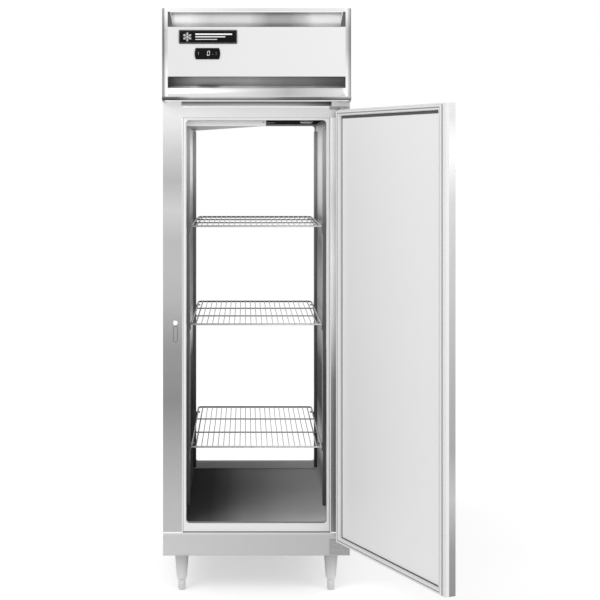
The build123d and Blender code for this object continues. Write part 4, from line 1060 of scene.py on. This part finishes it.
# %% Coil fins
fin_tree, fin_in, fin_out = new_tree("coil fins", [
    ("Width", "Float"), ("Depth", "Float"), ("Height", "Float"), ("Pitch", "Float"), ("Thickness", "Float"),
    ("Material", "Material")])
given = fin_in.outputs
fin_row = fin_tree.nodes.new("GeometryNodeMeshLine")
fin_cube = fin_tree.nodes.new("GeometryNodeMeshCube")
fin_copies = fin_tree.nodes.new("GeometryNodeInstanceOnPoints")
fin_count = math_node(fin_tree, "FLOOR", math_node(fin_tree, "DIVIDE", given["Width"], given["Pitch"]))
fin_start = math_node(fin_tree, "MULTIPLY", math_node(fin_tree, "MULTIPLY", given["Pitch"], -0.5),
                      math_node(fin_tree, "SUBTRACT", fin_count, 1.0))
fin_tree.links.new(fin_count, fin_row.inputs["Count"])
fin_tree.links.new(vector_node(fin_tree, fin_start), fin_row.inputs["Start Location"])
fin_tree.links.new(vector_node(fin_tree, given["Pitch"]), fin_row.inputs["Offset"])
fin_tree.links.new(vector_node(fin_tree, given["Thickness"], given["Depth"], given["Height"]),
                   fin_cube.inputs["Size"])
fin_tree.links.new(fin_row.outputs["Mesh"], fin_copies.inputs["Points"])
fin_tree.links.new(fin_cube.outputs["Mesh"], fin_copies.inputs["Instance"])
finish_tree(fin_tree, fin_out, given["Material"], fin_copies.outputs["Instances"])
low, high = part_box("condenser_coil")
END_PLATE = 2 * MM
grow("coil_fins", fin_tree, [(0, 0, 0)],
     {"Width": high.x - low.x - 2 * END_PLATE, "Depth": high.y - low.y - 4 * MM,
      "Height": high.z - low.z - 4 * MM,
      "Pitch": 3.2 * MM, "Thickness": 0.4 * MM, "Material": finish["fin"]},
     ((low.x + high.x) / 2, (low.y + high.y) / 2, (low.z + high.z) / 2), "cabinet", "condenser_coil")

# %% Coil plates and tubes
bm = bmesh.new()
coil_low, coil_high = [tuple(c / MM for c in corner) for corner in (low, high)]
for x in (coil_low[0] + 1, coil_high[0] - 1):
    prism(bm, box_outline(x, (coil_low[2] + coil_high[2]) / 2, 2, coil_high[2] - coil_low[2]), coil_low[1],
          coil_high[1], on_front, slot=0)
ROWS = 9
for row in range(ROWS):
    z = coil_low[2] + 18 + row * (coil_high[2] - coil_low[2] - 36) / (ROWS - 1)
    for y in (coil_low[1] + 14, coil_high[1] - 14):
        rings = []
        for x in (coil_low[0] - 5, coil_high[0] + 5):
            turns = [2 * pi * step / 10 for step in range(10)]
            rings.append([bm.verts.new(on_front(x, y + 4.8 * cos(t), z + 4.8 * sin(t))) for t in turns])
        join_rings(bm, rings, False, [1])
        for ring in rings:
            bm.faces.new(ring).material_index = 1
publish(bm, "coil_tubes", ["galvanised", "copper"], "cabinet")

# %% Fan guard
guard_tree, guard_in, guard_out = new_tree("fan guard", [
    ("Radius", "Float"), ("Wire", "Float"), ("Rings", "Int"), ("Bars", "Int"), ("Turn", "Vector"),
    ("Material", "Material")])
given = guard_in.outputs
ring_points = guard_tree.nodes.new("GeometryNodeMeshLine")
ring_points.inputs["Offset"].default_value = (0, 0, 0)
circle = guard_tree.nodes.new("GeometryNodeCurvePrimitiveCircle")
circle.inputs["Resolution"].default_value = 40
number = guard_tree.nodes.new("GeometryNodeInputIndex")
ring_scale = math_node(guard_tree, "DIVIDE", math_node(guard_tree, "ADD", number.outputs["Index"], 1.0),
                       given["Rings"])
ring_copies = guard_tree.nodes.new("GeometryNodeInstanceOnPoints")
ring_real = guard_tree.nodes.new("GeometryNodeRealizeInstances")
wire_section = guard_tree.nodes.new("GeometryNodeCurvePrimitiveCircle")
wire_section.inputs["Resolution"].default_value = 6
ring_pipe = guard_tree.nodes.new("GeometryNodeCurveToMesh")
guard_tree.links.new(given["Rings"], ring_points.inputs["Count"])
guard_tree.links.new(given["Radius"], circle.inputs["Radius"])
guard_tree.links.new(ring_points.outputs["Mesh"], ring_copies.inputs["Points"])
guard_tree.links.new(circle.outputs["Curve"], ring_copies.inputs["Instance"])
guard_tree.links.new(ring_scale, ring_copies.inputs["Scale"])
guard_tree.links.new(ring_copies.outputs["Instances"], ring_real.inputs["Geometry"])
guard_tree.links.new(given["Wire"], wire_section.inputs["Radius"])
guard_tree.links.new(ring_real.outputs["Geometry"], ring_pipe.inputs["Curve"])
guard_tree.links.new(wire_section.outputs["Curve"], ring_pipe.inputs["Profile Curve"])
bar_points = guard_tree.nodes.new("GeometryNodeMeshLine")
bar_points.inputs["Offset"].default_value = (0, 0, 0)
guard_bar = guard_tree.nodes.new("GeometryNodeMeshCylinder")
guard_bar.inputs["Vertices"].default_value = 6
bar_turn = math_node(guard_tree, "DIVIDE", math_node(guard_tree, "MULTIPLY", number.outputs["Index"], pi),
                     given["Bars"])
bar_copies = guard_tree.nodes.new("GeometryNodeInstanceOnPoints")
guard_tree.links.new(given["Bars"], bar_points.inputs["Count"])
guard_tree.links.new(given["Wire"], guard_bar.inputs["Radius"])
guard_tree.links.new(math_node(guard_tree, "MULTIPLY", given["Radius"], 2.0), guard_bar.inputs["Depth"])
guard_tree.links.new(bar_points.outputs["Mesh"], bar_copies.inputs["Points"])
guard_tree.links.new(guard_bar.outputs["Mesh"], bar_copies.inputs["Instance"])
guard_tree.links.new(vector_node(guard_tree, pi / 2, 0.0, bar_turn), bar_copies.inputs["Rotation"])
guard_join = guard_tree.nodes.new("GeometryNodeJoinGeometry")
guard_turn = guard_tree.nodes.new("GeometryNodeTransform")
guard_tree.links.new(ring_pipe.outputs["Mesh"], guard_join.inputs["Geometry"])
guard_tree.links.new(bar_copies.outputs["Instances"], guard_join.inputs["Geometry"])
guard_tree.links.new(guard_join.outputs["Geometry"], guard_turn.inputs["Geometry"])
guard_tree.links.new(given["Turn"], guard_turn.inputs["Rotation"])
finish_tree(guard_tree, guard_out, given["Material"], guard_turn.outputs["Geometry"])
fan_low, fan_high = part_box("condenser_fan_blade")
motor_low, motor_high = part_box("condenser_fan_motor")
shroud_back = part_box("fan_shroud")[1].y
grow("fan_guard", guard_tree, [(0, 0, 0)],
     {"Radius": (fan_high.x - fan_low.x) / 2 + 8 * MM, "Wire": 1.2 * MM, "Rings": 9, "Bars": 3,
      "Turn": (pi / 2, 0.0, 0.0), "Material": finish["screw"]},
     ((motor_low.x + motor_high.x) / 2, shroud_back + 2 * MM, (motor_low.z + motor_high.z) / 2), "cabinet")

# %% Compressor
comp_low, comp_high = [tuple(c / MM for c in corner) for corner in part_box("compressor")]
COMP = ((comp_low[0] + comp_high[0]) / 2, (comp_low[1] + comp_high[1]) / 2)
COMP_R = (comp_high[0] - comp_low[0]) / 2
bm = bmesh.new()
lathe(bm, [(0, comp_low[2] + 10), (COMP_R - 22, comp_low[2] + 10), (COMP_R - 6, comp_low[2] + 20),
           (COMP_R - 2, comp_low[2] + 36), (COMP_R - 2, comp_low[2] + 92), (COMP_R, comp_low[2] + 94),
           (COMP_R, comp_low[2] + 100), (COMP_R - 2, comp_low[2] + 102), (COMP_R - 3, comp_high[2] - 44),
           (COMP_R - 14, comp_high[2] - 18), (COMP_R - 38, comp_high[2] - 4), (0, comp_high[2])], COMP)
for x in (-1, 1):
    for y in (-1, 1):
        lathe(bm, [(0, comp_low[2]), (11, comp_low[2]), (11, comp_low[2] + 14), (0, comp_low[2] + 14)],
              (COMP[0] + x * 52, COMP[1] + y * 52), slots=[1] * 4)
prism(bm, box_outline(COMP[0] - 6, comp_low[2] + 84, 58, 62), COMP[1] - COMP_R + 1, COMP[1] - COMP_R + 26,
      on_front,
      ease=3, slot=1)
publish(bm, "compressor_shell", ["enamel", "rubber"], "cabinet", "compressor")

# %% [markdown]
# ## Screws
# Sheet-metal screws hold the side panels, the covers and the baffle. The tree puts a pan head on each
# point it is given and turns it to face one way, so a wall of screws is a list of places and a direction.

# %% Screw tree
screw_tree, screw_in, screw_out = new_tree("screw heads", [
    ("Radius", "Float"), ("Height", "Float"), ("Facing", "Vector"), ("Material", "Material")])
given = screw_in.outputs
head = screw_tree.nodes.new("GeometryNodeMeshCone")
head.inputs["Vertices"].default_value = 12
aim = screw_tree.nodes.new("FunctionNodeAlignRotationToVector")
aim.axis = "Z"
heads = screw_tree.nodes.new("GeometryNodeInstanceOnPoints")
screw_tree.links.new(given["Radius"], head.inputs["Radius Bottom"])
screw_tree.links.new(math_node(screw_tree, "MULTIPLY", given["Radius"], 0.6), head.inputs["Radius Top"])
screw_tree.links.new(given["Height"], head.inputs["Depth"])
screw_tree.links.new(given["Facing"], aim.inputs["Vector"])
screw_tree.links.new(screw_in.outputs["Geometry"], heads.inputs["Points"])
screw_tree.links.new(head.outputs["Mesh"], heads.inputs["Instance"])
screw_tree.links.new(aim.outputs["Rotation"], heads.inputs["Rotation"])
finish_tree(screw_tree, screw_out, given["Material"], heads.outputs["Instances"])


def screws(name, facing, places, radius=3.5):
    """Screw heads at places in millimetres, facing one way."""
    grow(name, screw_tree, [tuple(on_front(*place)) for place in places],
         {"Radius": radius * MM, "Height": 1.6 * MM, "Facing": facing, "Material": finish["screw"]},
         (0, 0, 0),
         "cabinet")


half_width = cover_high[0]
hood_sides = [(half_width, y, z) for y in (-440, 440) for z in (1775, 1905, 2035)]
panel_sides = [(half_width, y, z) for y in (-380, 0, 380) for z in (1800, 2000)]
screws("right_screws", (1, 0, 0), hood_sides + panel_sides)
screws("left_screws", (-1, 0, 0), [(-x, y, z) for x, y, z in hood_sides + panel_sides])
screws("baffle_screws", (0, -1, 0),
       [(baffle_high[0] - 9, baffle_low[1], (baffle_low[2] + baffle_high[2]) / 2)], 2.8)

# %% [markdown]
# ## Light, floor and background
# A white studio: an even white world, one large soft lamp from the upper left and a weaker one from the
# right. The floor is a pale plane that takes the shadow. For camera and mirror rays it gets a little glow,
# so that it meets the white background without a line.


# %% Light and floor
def area_lamp(name, location, target, size, power):
    """A square soft lamp aimed at a point."""
    data = bpy.data.lights.new(name, "AREA")
    data.size = size
    data.energy = power
    lamp = bpy.data.objects.new(name, data)
    lamp.location = location
    lamp.rotation_euler = (Vector(target) - Vector(location)).to_track_quat("-Z", "Y").to_euler()
    scene.collection.objects.link(lamp)


centre = (cad_bounds[0] + cad_bounds[1]) / 2
area_lamp("key lamp", (-2.2, -3.2, 3.4), centre, 2.0, 60)
area_lamp("fill lamp", (2.6, -2.8, 2.2), centre, 2.0, 25)

world = bpy.data.worlds.new("studio")
world.use_nodes = True
scene.world = world
sky_nodes = world.node_tree.nodes
sky_links = world.node_tree.links
background = sky_nodes["Background"]
background.inputs["Color"].default_value = (1, 1, 1, 1)
rays = sky_nodes.new("ShaderNodeLightPath")
either = sky_nodes.new("ShaderNodeMath")
either.operation = "MAXIMUM"
either_two = sky_nodes.new("ShaderNodeMath")
either_two.operation = "MAXIMUM"
strength = sky_nodes.new("ShaderNodeMapRange")
AMBIENT = 0.72
strength.inputs["To Min"].default_value = AMBIENT
strength.inputs["To Max"].default_value = 1.0
sky_links.new(rays.outputs["Is Camera Ray"], either.inputs[0])
sky_links.new(rays.outputs["Is Glossy Ray"], either.inputs[1])
sky_links.new(either.outputs["Value"], either_two.inputs[0])
sky_links.new(rays.outputs["Is Transmission Ray"], either_two.inputs[1])
sky_links.new(either_two.outputs["Value"], strength.inputs["Value"])
sky_links.new(strength.outputs["Result"], background.inputs["Strength"])


def studio_floor():
    """A pale plane under the feet that keeps the contact shadow."""
    mesh = bpy.data.meshes.new("studio_floor")
    reach = 12.0
    z = cad_bounds[0].z - 0.0005
    mesh.from_pydata([(-reach, -reach, z), (reach, -reach, z), (reach, reach, z), (-reach, reach, z)], [],
                     [(0, 1, 2, 3)])
    floor = bpy.data.objects.new("studio_floor", mesh)
    scene.collection.objects.link(floor)
    material, tree_nodes, links, shader = start_material("studio floor")
    factor = grain(tree_nodes, links, (1, 1, 1), 3.0)
    links.new(ramp(tree_nodes, links, factor, [(0.3, shade(0.96)), (0.7, shade(0.97))]),
              shader.inputs["Base Color"])
    shader.inputs["Roughness"].default_value = 0.9
    shader.inputs["Emission Color"].default_value = (1, 1, 1, 1)
    light_path = tree_nodes.new("ShaderNodeLightPath")
    seen = tree_nodes.new("ShaderNodeMath")
    seen.operation = "MAXIMUM"
    links.new(light_path.outputs["Is Camera Ray"], seen.inputs[0])
    links.new(light_path.outputs["Is Glossy Ray"], seen.inputs[1])
    glow = tree_nodes.new("ShaderNodeMapRange")
    glow.inputs["To Max"].default_value = 0.35
    links.new(seen.outputs["Value"], glow.inputs["Value"])
    links.new(glow.outputs["Result"], shader.inputs["Emission Strength"])
    mesh.materials.append(material)


studio_floor()
